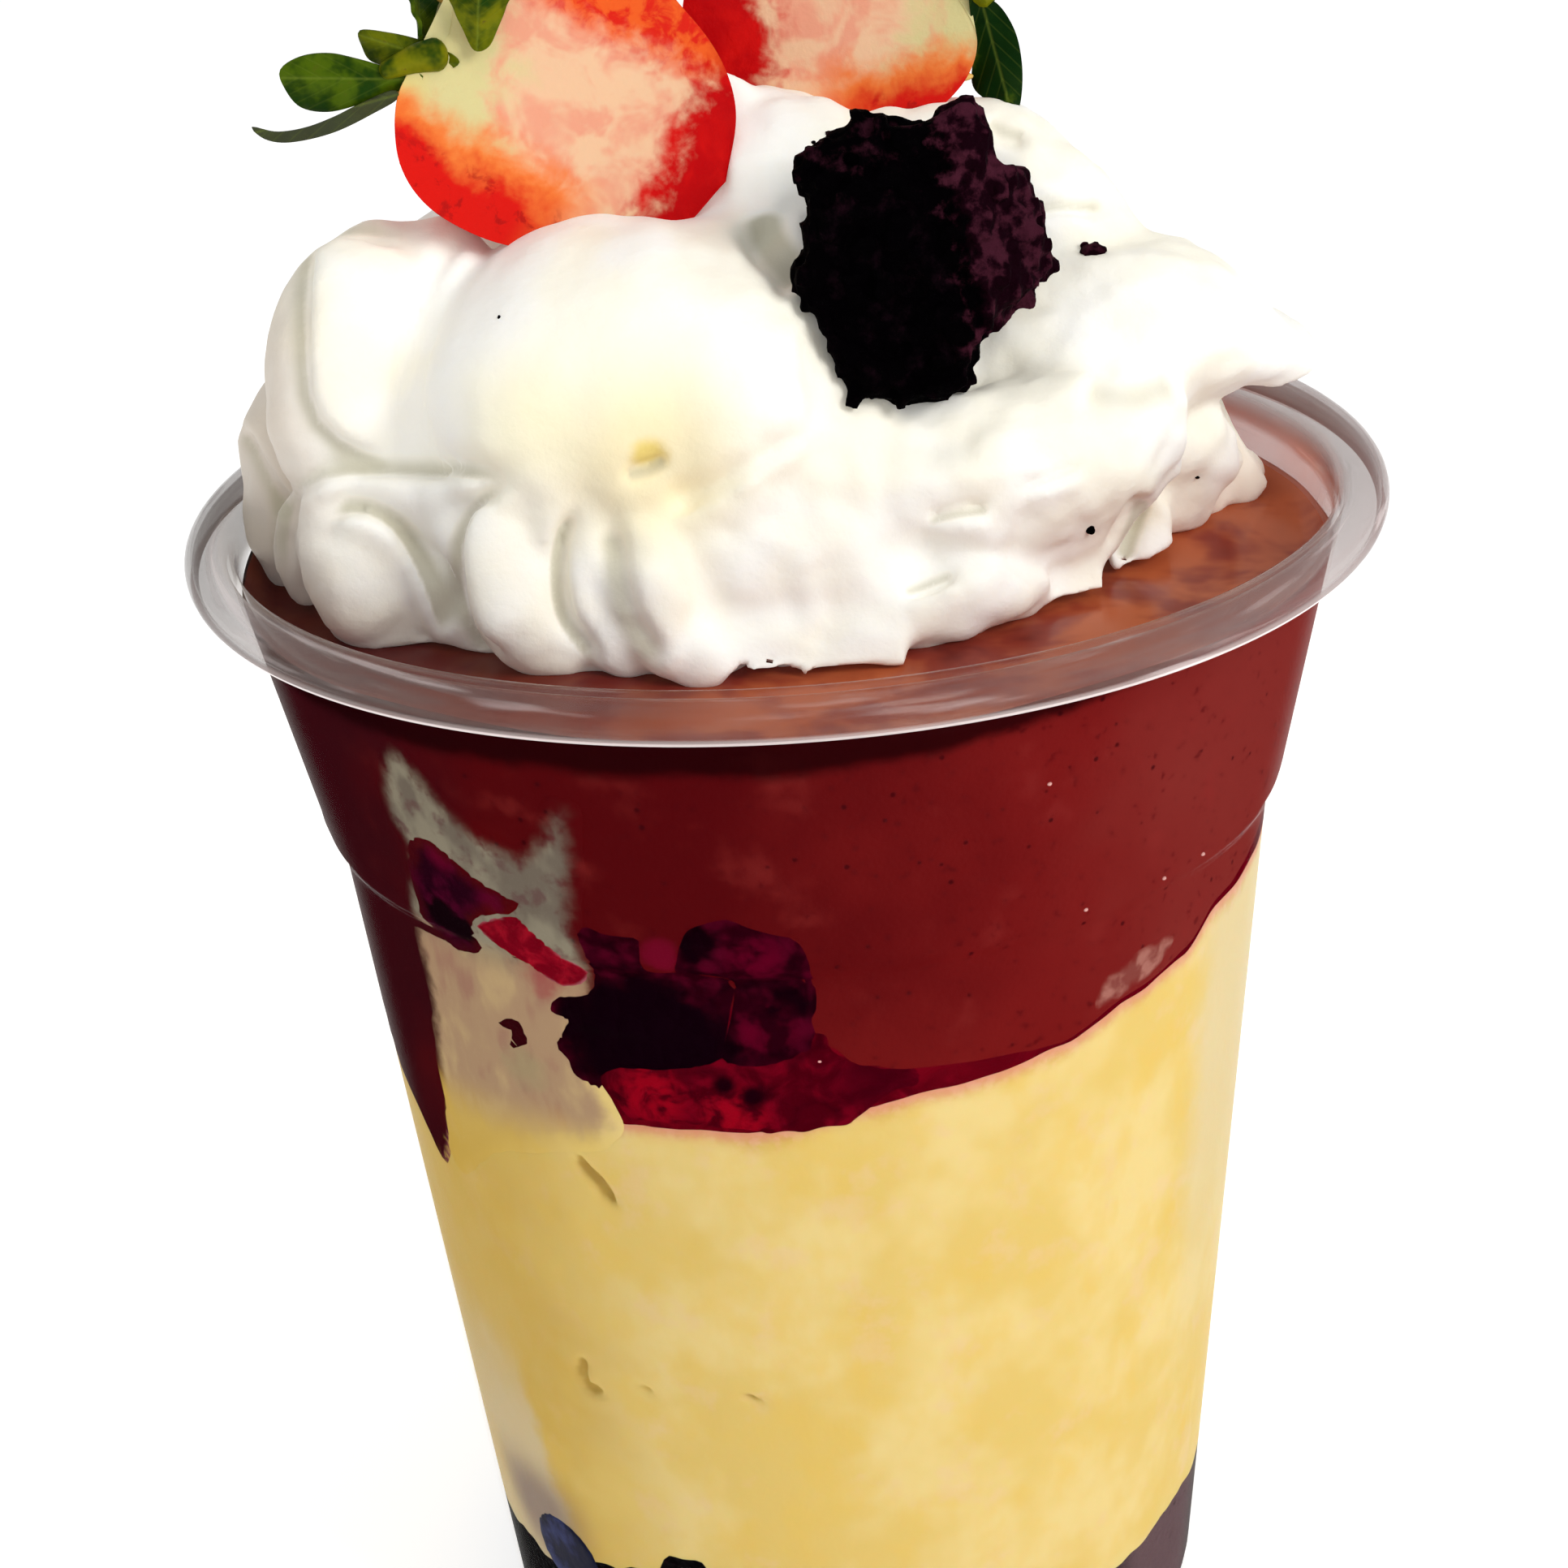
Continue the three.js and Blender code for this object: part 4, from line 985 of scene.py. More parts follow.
def poolFinish():
    f = Finish("jellyPool")
    lump = f.speckle(2.2, 4, 0.6, 0.4)
    bead = f.cells(2.2)
    glow = f.spots(lump, (800, 1350, 1.6, 4.2), (905, 1378, 1.2, 4))
    body = f.coats(
        (66, 0, 10), ((104, 1, 20), f.step(lump, 0.4, 0.66)),
        ((142, 3, 22), glow * f.step(lump, 0.42, 0.6) * 0.85),
        ((22, 0, 6), f.near(892, 1338, 0.4, 1.3) + f.near(928, 1352, 0.5, 1.4)),
        ((30, 0, 6), f.step(bead, 0.6, 0.85) * 0.5),
        ((56, 0, 10), f.near(1080, 1330, 1.5, 4.5) * 0.8))
    return f.surface(body, 0.3 + 0.2 * lump, (lump + 0.4 * bead, 0.3), 0)


def crescentFinish():
    f = Finish("berryCrescent")
    lump = f.speckle(0.9, 4, 0.6)
    return f.surface(f.blend((28, 2, 6), (60, 8, 14), lump), 0.3 + 0.2 * lump, (lump, 0.1), 0)


def blueberryFinish():
    f = Finish("blueberry")
    bloom = f.speckle(3, 4, 0.6)
    body = f.blend((10, 12, 38), (54, 60, 104), f.step(bloom, 0.42, 0.7) * 0.8)
    return f.surface(body, 0.4 + 0.3 * bloom, (bloom, 0.15), 0.05)


blueberry = {"azimuth": -140.5, "z": 18.2, "inset": 4.4, "half": (6.2, 6, 5.6)}


def makeBlueberry(b):
    # a ball pressed flat against the wall
    turn = math.radians(b["azimuth"])
    radius = float(fillRadius(b["z"])) - cup["reach"] - b["inset"]
    middle = np.array([radius * math.cos(turn), radius * math.sin(turn), b["z"]])
    bpy.ops.mesh.primitive_uv_sphere_add(segments=64, ring_count=40, radius=mm)
    turned = np.array(Matrix.Rotation(turn, 3, "Z"))

    def press(points):
        points = (points * np.array(b["half"])) @ turned.T + middle
        return heldInside(points, fillRadius(points[:, 2]) + 0.1)

    return movePoints(named("blueberryLeft"), press)


keepSame(mousseLayer, "fromEdge", 9)
mousseLayer = joined("mousseLayer", [mousseLayer, wallPatch("mousseRun")])
finished(mousseLayer, mousseFinish(), "mousse", "mousse")
darkBerry = darkBerryFinish()
for name, look, slotName, *nodes in (
        ("jellyPool", poolFinish(), "jelly"),
        ("creamPocket", creamSmearFinish(), "wall_cream", "cream_pocket"),
        ("darkBerryLeft", leftBerryFinish(), "dark_berry", "dark_berry_left"),
        ("strawberrySlice", sliceFinish(), "strawberry", "strawberry_slice"),
        ("berryCrescent", crescentFinish(), "dark_berry"),
        ("darkBerrySide", darkBerry, "dark_berry", "dark_berry_side"),
        ("darkBerryFront", darkBerry, "dark_berry", "dark_berry_front"),
        ("creamStreak", streakFinish(), "wall_cream")):
    finished(wallPatch(name), look, slotName, *nodes)
finished(makeBlueberry(blueberry), blueberryFinish(), "blueberry", "blueberry_left")
print("wall pieces made")


# Whipped cream

cream = {
    "foot": 100.3,
    "gap": 0.3,     # left free between the cream and the wall
    "voxel": 0.42,
    # azimuth, reach, half width, top and lean of each lobe of the piped border
    "border": [(175, 45.6, 6.2, 119, 0.5), (-163.5, 40, 5.9, 112.5, 1.5), (-149, 32.5, 4.4, 112, 1.2),
               (-136, 28.5, 4.3, 113, 2.5), (-121.5, 27.5, 3.5, 113, 2.2), (6, 37, 6, 113, 1),
               (27, 38.5, 6.3, 115, 1.8), (50, 37.5, 6.3, 116, 2), (72, 36, 6.8, 116.5, 3),
               (97, 38, 5.4, 113, 1), (118, 38.5, 7, 117, 3.4), (144, 41.5, 5.6, 114.5, 1)],
    # the larger strokes: each point is x, y, z and radius
    "strokes": [
        [(-3, 3, 99, 28), (-2, 3, 110, 26), (0, 4, 122, 19), (1, 5, 131, 10)],
        [(-33, -7, 109, 5.5), (-34.2, -6, 117.5, 6.6), (-32.4, -5, 125.4, 6), (-25, -3, 127.6, 4.6)],
        [(-16, -12.5, 111, 9), (-16.4, -10.4, 118, 11), (-13, -6, 122, 10.8), (-8, -3, 123, 8)],
        [(-11, -13, 111, 9), (-11, -11.2, 118, 11.2), (-9.5, -6.5, 121.8, 11), (-7, -2, 123, 8)],
        [(-5, -13, 110, 9), (-4.4, -11, 117, 11.4), (-5, -6, 121, 11), (-6, 0, 122, 8)],
        [(-12, -16, 110, 4.6), (-4, -17.5, 110.5, 5.4), (4, -16, 110.5, 5), (9, -12, 109.5, 4)],
        [(1, 8, 122, 12), (0, 6, 130, 8), (-2, 4, 136.5, 4), (-3, 3.6, 140.2, 1)],
        [(5, 9, 120, 10), (11, 8, 128.5, 8), (17.5, 7, 130.6, 5.6), (22, 5, 127, 6), (26, 4, 120, 7)],
        [(16, 2, 112, 12), (26, 0, 116, 10.4), (33, 0, 117.8, 7.4), (40, 1, 115.2, 3),
         (43, 1.2, 114, 1.4)],
        [(3, -10, 111, 8), (12, -13.5, 110.5, 7.6), (20, -11, 111, 7.6), (27, -6, 112, 7)],
        [(8, -22, 102.6, 2.4), (13.5, -20.5, 103.6, 3.3), (18.6, -16.5, 102.8, 2.4)],
        [(12, -12, 109, 4), (18, -12.5, 107, 4.6), (23.5, -10.5, 106, 4.4)],
        [(27, -1, 110, 5.5), (33.5, 0.5, 107.5, 3.8), (37, 3, 105.2, 2)],
        [(-27, 6, 110, 8), (-27, 9, 118, 8.5), (-19, 10, 125, 8), (-10, 9, 128, 6)],
        [(-16, 20, 110, 8), (-10, 20, 118, 8.6), (0, 16, 124.5, 8), (6, 10, 128, 6)],
        [(8, 22, 109, 8), (15, 18, 117, 8.4), (19, 12, 122.5, 7.6), (20, 6, 125, 6)],
        [(29, 10, 108, 7), (30, 8, 115, 7), (27, 3, 119, 6)],
    ],
    # the curls at the front, as pixels, depth and radius
    "curls": [
        [(455, 640, -9, 3.4), (438, 695, -11, 4.5), (452, 742, -11.6, 4.2)],
        [(378, 722, -3.6, 2.4), (374, 660, -4.5, 2.7), (402, 618, -6.4, 2.8), (452, 606, -8.4, 2.9),
         (504, 628, -10.4, 2.9), (534, 674, -12.2, 2.7), (550, 730, -13.6, 2.5), (556, 772, -14.2, 2.2)],
        [(560, 610, -12, 3.4), (610, 616, -13, 3.6), (660, 630, -14, 3.4)],
        [(680, 612, -15, 2.6), (638, 645, -17, 3.2), (624, 695, -18.6, 3.5), (634, 745, -20, 3.5),
         (662, 787, -21, 3.1), (702, 813, -21.8, 2)],
        [(728, 640, -17.4, 2), (714, 690, -19.6, 2.4), (722, 745, -21.2, 2.6), (750, 793, -22.6, 2.5),
         (784, 817, -23.4, 1.7)],
        [(524, 395, -5.5, 3.2), (524, 440, -6, 3.4), (522, 490, -7, 3.5), (520, 545, -8.2, 3.4)],
        [(790, 670, -20, 3.4), (800, 730, -22.6, 3.8), (835, 790, -24.4, 3.4), (880, 812, -25.2, 2.4)],
    ],
    # flat flaps with crisp edges, as the photo shows them: how deep their foot stands, how far
    # they lean back for each pixel upwards, and how far they turn back for each pixel to the right
    "flaps": [
        {"seen": [(1143, 655), (1209, 644), (1264, 619), (1330, 598), (1407, 606), (1387, 641),
         (1376, 691), (1368, 741), (1308, 748), (1264, 754), (1231, 726), (1187, 702)],
         "depth": -17.6, "lean": 0.05, "turn": 0.006, "thick": 6},
        {"seen": [(1380, 600), (1418, 605), (1448, 628), (1453, 677), (1407, 696), (1370, 710),
         (1363, 663)], "depth": -9.5, "lean": 0.04, "turn": 0.01, "thick": 6},
        {"seen": [(1440, 600), (1490, 500), (1511, 490), (1519, 526), (1538, 554), (1570, 597),
         (1538, 623), (1494, 641), (1450, 652)],
         "depth": 3, "lean": 0.01, "turn": 0.05, "thick": 5},
        {"seen": [(1110, 737), (1143, 726), (1182, 707), (1209, 718), (1231, 732), (1262, 756),
         (1231, 770), (1187, 781), (1138, 795), (1110, 801)],
         "depth": -22.4, "lean": 0.03, "turn": 0.03, "thick": 6},
        {"seen": [(770, 712), (840, 664), (940, 642), (1040, 645), (1105, 688), (1117, 722), (1117, 827),
         (1000, 838), (900, 835), (830, 831), (785, 790)],
         "depth": -27.6, "lean": 0.042, "turn": 0.002, "thick": 7},
        {"seen": [(1400, 300), (1470, 318), (1508, 345), (1540, 379), (1586, 400), (1614, 418),
         (1632, 438), (1628, 460), (1604, 474), (1576, 480), (1516, 472), (1508, 486), (1400, 520)],
         "depth": 0, "lean": 0.004, "turn": 0, "thick": 7},
    ],
    # folds drawn on the front: lift, depth, half width and the way they run, in pixels; the side
    # to the right of the way is lifted and the other one pressed in, or both where lift is None
    "folds": [
        (0.8, 1.5, 1.5, [(485, 568), (440, 552), (402, 524), (383, 482), (379, 420), (381, 345), (393, 302),
         (425, 292), (486, 297), (513, 320)]),
        (0.6, 0.9, 1.3, [(488, 515), (500, 480), (516, 430), (531, 380), (550, 330), (592, 283)]),
        (0.7, 1.5, 1.6, [(360, 725), (357, 665), (370, 613), (395, 594), (440, 586), (520, 588), (600, 592),
         (634, 602)]),
        (0.6, 2.4, 1.5, [(400, 645), (440, 632), (480, 650), (508, 690), (530, 741), (541, 786)]),
        (0.9, 1.9, 1.3, [(625, 810), (593, 777), (575, 736), (571, 690), (578, 654), (598, 623),
         (636, 602)]),
        (0.5, 2.0, 1.1, [(712, 625), (690, 645), (680, 675), (677, 712), (685, 761), (713, 802),
         (731, 828)]),
        (None, 1.3, 1.1, [(738, 642), (752, 668), (760, 715), (771, 760), (795, 797), (820, 822)]),
        (0.6, 0.9, 1.8, [(820, 640), (880, 612), (930, 582), (975, 553), (1010, 533)]),
        (None, 0.7, 1.8, [(820, 668), (900, 655), (960, 632), (1010, 612)]),
        (None, 1.3, 0.7, [(768, 586), (800, 579), (824, 565)]),
        (0.6, 1.3, 1.3, [(363, 636), (348, 613), (328, 572), (310, 537), (289, 527)]),
        (0.4, 1.0, 0.6, [(1262, 610), (1300, 594), (1338, 580)]),
        (0.6, 1.6, 0.9, [(1140, 650), (1180, 640), (1225, 634)]),
        (0.5, 1.6, 0.8, [(1112, 738), (1145, 726), (1180, 712)]),
        (None, 1.8, 0.8, [(1412, 610), (1400, 640), (1390, 668), (1384, 694)]),
        (0.5, 1.4, 1.3, [(1250, 272), (1300, 262), (1365, 264)]),
        (None, 2.0, 1.5, [(938, 258), (948, 296), (970, 326), (992, 350)]),
        (None, 1.0, 0.8, [(1215, 150), (1240, 163), (1266, 168)]),
        (None, 1.0, 1.6, [(1330, 480), (1390, 490), (1453, 471)]),
        (None, 0.8, 1.8, [(1060, 560), (1130, 545), (1210, 548)]),
        (None, 0.6, 1.4, [(850, 745), (930, 765), (1000, 740)]),
        (None, 0.6, 1.3, [(1000, 690), (1020, 740), (1010, 800)]),
    ],
    # where the rolls are smoothed into one even dome: middle, half width and half height in pixels
    "dome": (760, 425, 175, 150),
    # where the cream has no fine roughness, in pixels with the radius
    "smooth": [(700, 430, 235), (430, 430, 130), (560, 700, 190)],
}


def lobe(azimuth, reach, half, top, lean):
    turn = math.radians(azimuth)
    out = Vector((math.cos(turn), math.sin(turn), 0))
    across = Vector((-out.y, out.x, 0))

    def at(radius, sideways, z, size):
        point = out * radius + across * sideways
        return (point.x, point.y, z, size)

    return [at(reach - half - 10, lean, top, half * 0.75),
            at(reach - half - 1.5, -0.5 * lean, (top + 107) / 2, half),
            at(reach - half, -0.7 * lean, 105, half),
            at(reach - half - 1.2, 0.5 * lean, cream["foot"] + 0.1, half * 0.75)]


def roundEnd(end, inner):
    # the points past a roll's end, thinner and thinner
    out = (end - inner)[:3]
    out /= np.linalg.norm(out)
    turns = np.radians([22, 45, 65, 80, 89])
    return [(*(end[:3] + out * end[3] * 0.75 * math.sin(a)), end[3] * math.cos(a)) for a in turns]


def rolls(name, strokes):
    # round rolls along smooth paths, with rounded ends, as one mesh
    curve = bpy.data.curves.new(name, "CURVE")
    curve.dimensions = "3D"
    curve.bevel_depth = mm
    curve.bevel_resolution = 7
    for stroke in strokes:
        line = smoothLine(stroke, 26)
        path = [*roundEnd(line[0], line[1])[::-1], *line, *roundEnd(line[-1], line[-2])]
        spline = curve.splines.new("POLY")
        spline.points.add(len(path) - 1)
        for point, (x, y, z, size) in zip(spline.points, path):
            point.co = (x * mm, y * mm, z * mm, 1)
            point.radius = size
        spline.use_smooth = True
    piece = bpy.data.objects.new(name, curve)
    bpy.context.scene.collection.objects.link(piece)
    choose(piece)
    curve.use_fill_caps = True
    bpy.ops.object.convert(target="MESH")
    return bpy.context.object


def flap(name, seen, depth, lean, turn, thick):
    # a flap whose outline the photo shows, standing at its depth
    foot = max(y for _, y in seen)
    middle = np.mean([x for x, _ in seen])
    piece = plate(name, drawn(seen), thick, 1.6)

    def stand(points):
        x, y = sheetSeen(points)
        away = depth + lean * (foot - y) + turn * (x - middle)
        return stood(x, y, away) + points * (0, 1, 0)

    return cleaned(movePoints(piece, stand))


def folded(points, normals, folds):
    # how far each point moves along its normal for the folds drawn on the front
    x, y, scale = pixelsOf(points)
    toView = np.array(viewAt) - points
    toView /= np.linalg.norm(toView, axis=1)[:, None]
    facing = np.clip(3 * (normals * toView).sum(axis=1), 0, 1)
    height = np.zeros(len(points))
    for lift, deep, half, way in folds:
        nearest, side, part = nearestOn(np.c_[x, y], smoothLine(way, 14))
        away = side * nearest / scale
        pressed = -deep * np.exp(-(away / half) ** 2)
        lifted = lift * np.exp(-(away / (2.4 * half)) ** 2) if lift else pressed
        share = 0.5 + 0.5 * np.tanh(away / 0.35)
        fade = np.clip(np.minimum(part, 1 - part) / 0.14, 0, 1)
        height += fade * (pressed + (lifted - pressed) * share)
    return height * facing


def smoothShare(points):
    x, y, _ = pixelsOf(points)
    share = np.zeros(len(points))
    for atX, atY, wide in cream["smooth"]:
        share = np.maximum(share, np.exp(-(np.hypot(x - atX, y - atY) / wide) ** 4))
    return share * (points[:, 1] < 6)


def domeShare(points):
    x, y, _ = pixelsOf(points)
    atX, atY, wide, high = cream["dome"]
    share = np.exp(-(((x - atX) / wide) ** 2 + ((y - atY) / high) ** 2) ** 3)
    return share * (points[:, 1] < 4)


def makeCream():
    strokes = [lobe(*settings) for settings in cream["border"]] + cream["strokes"]
    strokes += [[(*seenAt(x, y, depth), size) for x, y, depth, size in curl] for curl in cream["curls"]]
    flaps = [flap(f"flap{n}", **settings) for n, settings in enumerate(cream["flaps"])]
    piece = joined("whippedCream", [rolls("creamRolls", strokes), *flaps])
    modify(piece, "REMESH", mode="VOXEL", voxel_size=cream["voxel"] * mm)
    choose(piece)
    bpy.ops.object.mode_set(mode="EDIT")
    bpy.ops.mesh.select_all(action="SELECT")
    bpy.ops.mesh.bisect(plane_co=(0, 0, cream["foot"] * mm), plane_no=(0, 0, -1),
                        clear_outer=True, use_fill=True)
    bpy.ops.object.mode_set(mode="OBJECT")
    modify(piece, "SMOOTH", factor=0.5, iterations=4)
    dome = piece.vertex_groups.new(name="dome")
    share = np.round(domeShare(pointsOf(piece)), 1)
    for weight in np.unique(share[share > 0]):
        dome.add(np.flatnonzero(share == weight).tolist(), float(weight), "REPLACE")
    modify(piece, "SMOOTH", factor=0.8, iterations=90, vertex_group="dome")

    def shape(points):
        normals = normalsOf(piece)
        rough = 1 - 0.85 * smoothShare(points)
        ridge = (1 - np.abs(grain(points, 5.5, 7))) ** 3
        height = 0.45 * grain(points, 9, 2) + rough * (0.75 * grain(points, 5, 4) - 0.4 * ridge)
        height += rough * 0.3 * grain(points, 2.2, 5)
        return points + normals * (height + folded(points, normals, cream["folds"]))[:, None]

    movePoints(piece, shape)
    modify(piece, "REMESH", mode="VOXEL", voxel_size=cream["voxel"] * mm)
    modify(piece, "SMOOTH", factor=0.5, iterations=2)

    def within(points):
        below = points[:, 2] < cup["height"] + cream["gap"]
        inner = np.where(below, wallRadius(points[:, 2]) - cup["wall"] - cream["gap"], cup["rimRadius"])
        return np.maximum(heldInside(points, inner), (-np.inf, -np.inf, cream["foot"]))

    movePoints(piece, within)
    points = pointsOf(piece)
    # how deep each point lies in the deeper folds, kept for the painted shade in the creases
    deep = -folded(points, normalsOf(piece), [fold for fold in cream["folds"] if fold[1] > 0.9])
    keep(piece, "creaseShade", np.clip(deep, 0, 2))
    return piece


def creamFinish():
    f = Finish("whippedCream")
    x, _, z = f.parts()
    broad = f.speckle(12, 2, 0.5)
    soft = f.speckle(4, 3, 0.5)
    fine = f.speckle(0.8, 3, 0.6)
    spot = f.apart(onPiece(whippedCream, 800, 560))
    glow = f.apart(onPiece(whippedCream, 650, 520))
    # painted shade on the cream's far left, away from the light
    left = f.step(x + 4 * (soft - 0.5), -33, -40) * f.step(z, 136, 122)
    body = f.coats(
        (254, 252, 244), ((253, 247, 230), f.step(broad, 0.42, 0.62)),
        ((250, 232, 176), f.step(spot + 5 * (broad - 0.5), 11, 2) * 0.75),
        ((254, 242, 196), f.step(glow + 5 * (broad - 0.5), 8, 1) * 0.6),
        ((210, 194, 176), left * 0.75),
        ((234, 208, 92), f.step(spot + 1.8 * (soft - 0.5), 1.9, 0.5) * 0.85),
        # painted shade in the creases, grey-green
        ((188, 183, 156), f.step(f.kept("creaseShade"), 0.25, 1.6) * 0.75))
    # a faint emission in the cream's colour lifts its shaded parts: painted light
    return f.surface(body, 0.5 + 0.12 * fine, (0.6 * soft + 0.25 * fine, 0.25), 0.3,
                     {"Subsurface Weight": 0.2, "Subsurface Scale": 0.0012,
                      "Subsurface Radius": (1, 0.9, 0.75), "Emission Color": (1, 0.98, 0.92, 1),
                      "Emission Strength": 0.05})


whippedCream = makeCream()
finished(whippedCream, creamFinish(), "whipped_cream", "whipped_cream", angle=80)
print("whipped cream made,", len(whippedCream.data.polygons), "faces")


# Strawberries

strawberries = {
    # where the stem end stands, which way the tip points and the cut face looks, and the size;
    # "lower" and "ripe" set where the colours of the cut face lie
    "strawberryLeft": {
        "node": "strawberry_left", "stem": (-24.3, -4, 147), "points": (0.84, 0.02, -0.54),
        "faces": (0.02, -0.93, 0.36), "length": 25.5, "half": 12.4, "lower": -1, "ripe": 0},
    "strawberryRight": {
        "node": "strawberry_right", "stem": (17.5, 9.5, 145), "points": (-0.97, 0.02, -0.12),
        "faces": (0.04, -0.92, 0.38), "length": 23.5, "half": 10.1, "lower": 0.86, "ripe": 0.1},
}
berrySeed = {
    "count": 110, "turn": 2.39996,     # the golden angle from one seed to the next
    "size": (0.32, 0.42, 0.68), "sunk": 0.16, "dimple": 0.28, "dimpleHalf": 0.75}
berryTop = {"height": 152.4, "soft": 1.2}    # above this the skin is pressed gently down
# half width and distance from the stem end, both as shares
berryProfile = [(0, 0.06), (0.42, 0), (0.78, 0.07), (0.97, 0.22), (1, 0.38), (0.9, 0.58), (0.7, 0.77),
                (0.42, 0.93), (0, 1)]


def berryFrame(b):
    # local x across the cut face, y into the berry, z from the tip to the stem
    down = -Vector(b["points"]).normalized()
    out = Vector(b["faces"]).normalized()
    across = (-out).cross(down).normalized()
    back = down.cross(across).normalized()
    turn = Matrix((across, back, down)).transposed().to_4x4()
    return Matrix.Translation(b["stem"]) @ turn


def lumpAt(x, y, z):
    return 1 + 0.05 * np.sin(x * 0.35 + 1) * np.cos(z * 0.4) + 0.03 * np.sin(y * 0.6 + 2)


def halfBerry(name, b):
    bpy.ops.mesh.primitive_uv_sphere_add(segments=128, ring_count=84, radius=mm)
    piece = named(name)
    line = smoothLine(berryProfile, 200)
    drop = np.linspace(0, 1, 200)
    # as many seeds at each height as its girth has room for
    girth = np.cumsum(line[:, 0])
    shares = (np.arange(berrySeed["count"]) + 0.5) / berrySeed["count"]
    heights = 0.03 + 0.94 * np.interp(shares, girth / girth[-1], drop)
    seeds = [(t, (n * berrySeed["turn"]) % math.tau) for n, t in enumerate(heights)]

    def shape(points):
        part = np.arccos(np.clip(points[:, 2], -1, 1)) / math.pi
        wide = np.interp(part, drop, line[:, 0]) * b["half"]
        depth = np.interp(part, drop, line[:, 1])
        turn = np.arctan2(points[:, 1], points[:, 0])
        x, y, z = wide * np.cos(turn), wide * np.sin(turn), -depth * b["length"]
        lump = lumpAt(x, y, z)
        x, y = x * lump, y * lump
        skin = y > 0.4
        # a dimple round each seed
        for t, around in seeds:
            near = np.hypot((part - t) * b["length"] * 1.1,
                            np.angle(np.exp(1j * (turn - around))) * np.maximum(wide, 1))
            dent = berrySeed["dimple"] * np.exp(-(near / berrySeed["dimpleHalf"]) ** 2)
            share = 1 - np.where(skin, dent, 0) / np.maximum(wide, 1)
            x, y = x * share, y * share
        rim = np.clip(1 - np.abs(x) / np.maximum(wide, 0.1), 0, 1)
        cutFace = 0.35 * np.sin(x * 0.5 + 0.4) * np.sin(z * 0.36) + 0.25 * (rim ** 0.5 - 1)
        y = np.where(turn < 0, -cutFace * np.minimum(rim * 4, 1) * 0.6, y)
        return np.stack([x, y, z], axis=1)

    movePoints(piece, shape)
    local = pointsOf(piece)
    keep(piece, "berrySpace", np.stack([b["lower"] * local[:, 0] / b["half"], local[:, 1] / b["half"],
                                        b["ripe"] - local[:, 2] / b["length"]], axis=1))
    # how far a point of the cut face is from the middle line, as a share of the half width there
    below = line[40:]     # the part past the stem end's dip, where the distance only grows
    wide = np.interp(np.clip(-local[:, 2] / b["length"], 0, 1), below[:, 1], below[:, 0]) * b["half"]
    keep(piece, "fromCore", np.where(local[:, 1] < 0.4, np.abs(local[:, 0]) / np.maximum(wide, 0.5), 1.5))
    place = np.array(berryFrame(b))

    def stand(points):
        points = points @ place[:3, :3].T + place[:3, 3]
        high = np.maximum(points[:, 2] - berryTop["height"], 0)
        points[:, 2] -= high - berryTop["soft"] * np.tanh(high / berryTop["soft"])
        return points

    movePoints(piece, stand)

    bpy.ops.mesh.primitive_ico_sphere_add(subdivisions=2, radius=mm)
    seed = named(name + "Seed")
    places = []
    for t, around in seeds:
        if math.sin(around) < 0.1:
            continue
        wide = float(np.interp(t, drop, line[:, 0])) * b["half"]
        depth = float(np.interp(t, drop, line[:, 1])) * b["length"]
        x, y = wide * math.cos(around), wide * math.sin(around)
        share = lumpAt(x, y, -depth) * (1 - berrySeed["sunk"] / max(wide, 1))
        where = (x * share, y * share, -depth)
        places.append(berryFrame(b) @ placed(where, (0, 0, around), berrySeed["size"]))
    return piece, copies(name + "Seeds", seed, places)


def strawberryFinish():
    f = Finish("strawberryFlesh")
    # the first part runs towards the lower edge of the cut face, the last one from stem to tip
    berrySpace = f.kept("berrySpace", "Vector")
    low, _, along = f.parts(berrySpace)
    fibre = f.speckle(0.1, 4, 0.6, 0.3, f.stretched(1, 1, 2.2, berrySpace))
    cloud = f.speckle(4, 3, 0.6, 0.4)
    patch = f.speckle(1.8, 4, 0.6, 0.4)
    wave = 0.4 * (cloud - 0.5) + 0.1 * (fibre - 0.5) + 0.14 * (patch - 0.5)
    pale = f.coats(
        (232, 188, 150), ((230, 158, 128), f.step(cloud, 0.42, 0.62)),
        ((212, 200, 142), f.step(along - 0.25 * low + wave, 0.34, 0.12)),
        ((222, 196, 110), f.step(along + wave * 0.5, 0.1, 0.0) * f.step(low, 0.2, 0.5) * 0.7))
    upper = f.blend((230, 92, 34), (214, 34, 20), f.step(patch, 0.42, 0.62))
    skin = f.blend((186, 3, 8), (208, 14, 12), f.step(cloud, 0.4, 0.65))
    outside = f.step(f.kept("fromCore"), 1.02, 1.2)
    body = f.coats(
        pale, (upper, f.step(wave - low, 0.34, 0.62) * f.step(along, 0.1, 0.3)),
        ((236, 118, 44), f.step(low + wave, 0.3, 0.58) * f.step(along, 0.76, 0.54) * 0.95),
        ((212, 22, 14), f.step(low + 1.2 * wave, 0.5, 0.76) * f.step(along, 0.7, 0.46)),
        ((150, 14, 14), f.step(patch, 0.56, 0.66) * f.step(low, 0.6, 0.75) * 0.6),
        (skin, f.step(along + 0.8 * wave, 0.74, 0.86)),
        (skin, outside * f.step(along, 0.1, 0.25)))
    return f.surface(body, 0.36 + 0.2 * patch - 0.12 * outside, (0.5 * patch + 0.4 * fibre, 0.2), 0.08,
                     {"Coat Weight": 0.02 + 0.12 * outside, "Coat Roughness": 0.12,
                      "Subsurface Weight": 0.1, "Subsurface Scale": 0.001})


def beadFinish(name, low, high, size):
    f = Finish(name)
    tone = f.speckle(size, 2, 0.5)
    return f.surface(f.blend(low, high, tone), 0.3 + 0.2 * tone, (tone, 0.05))


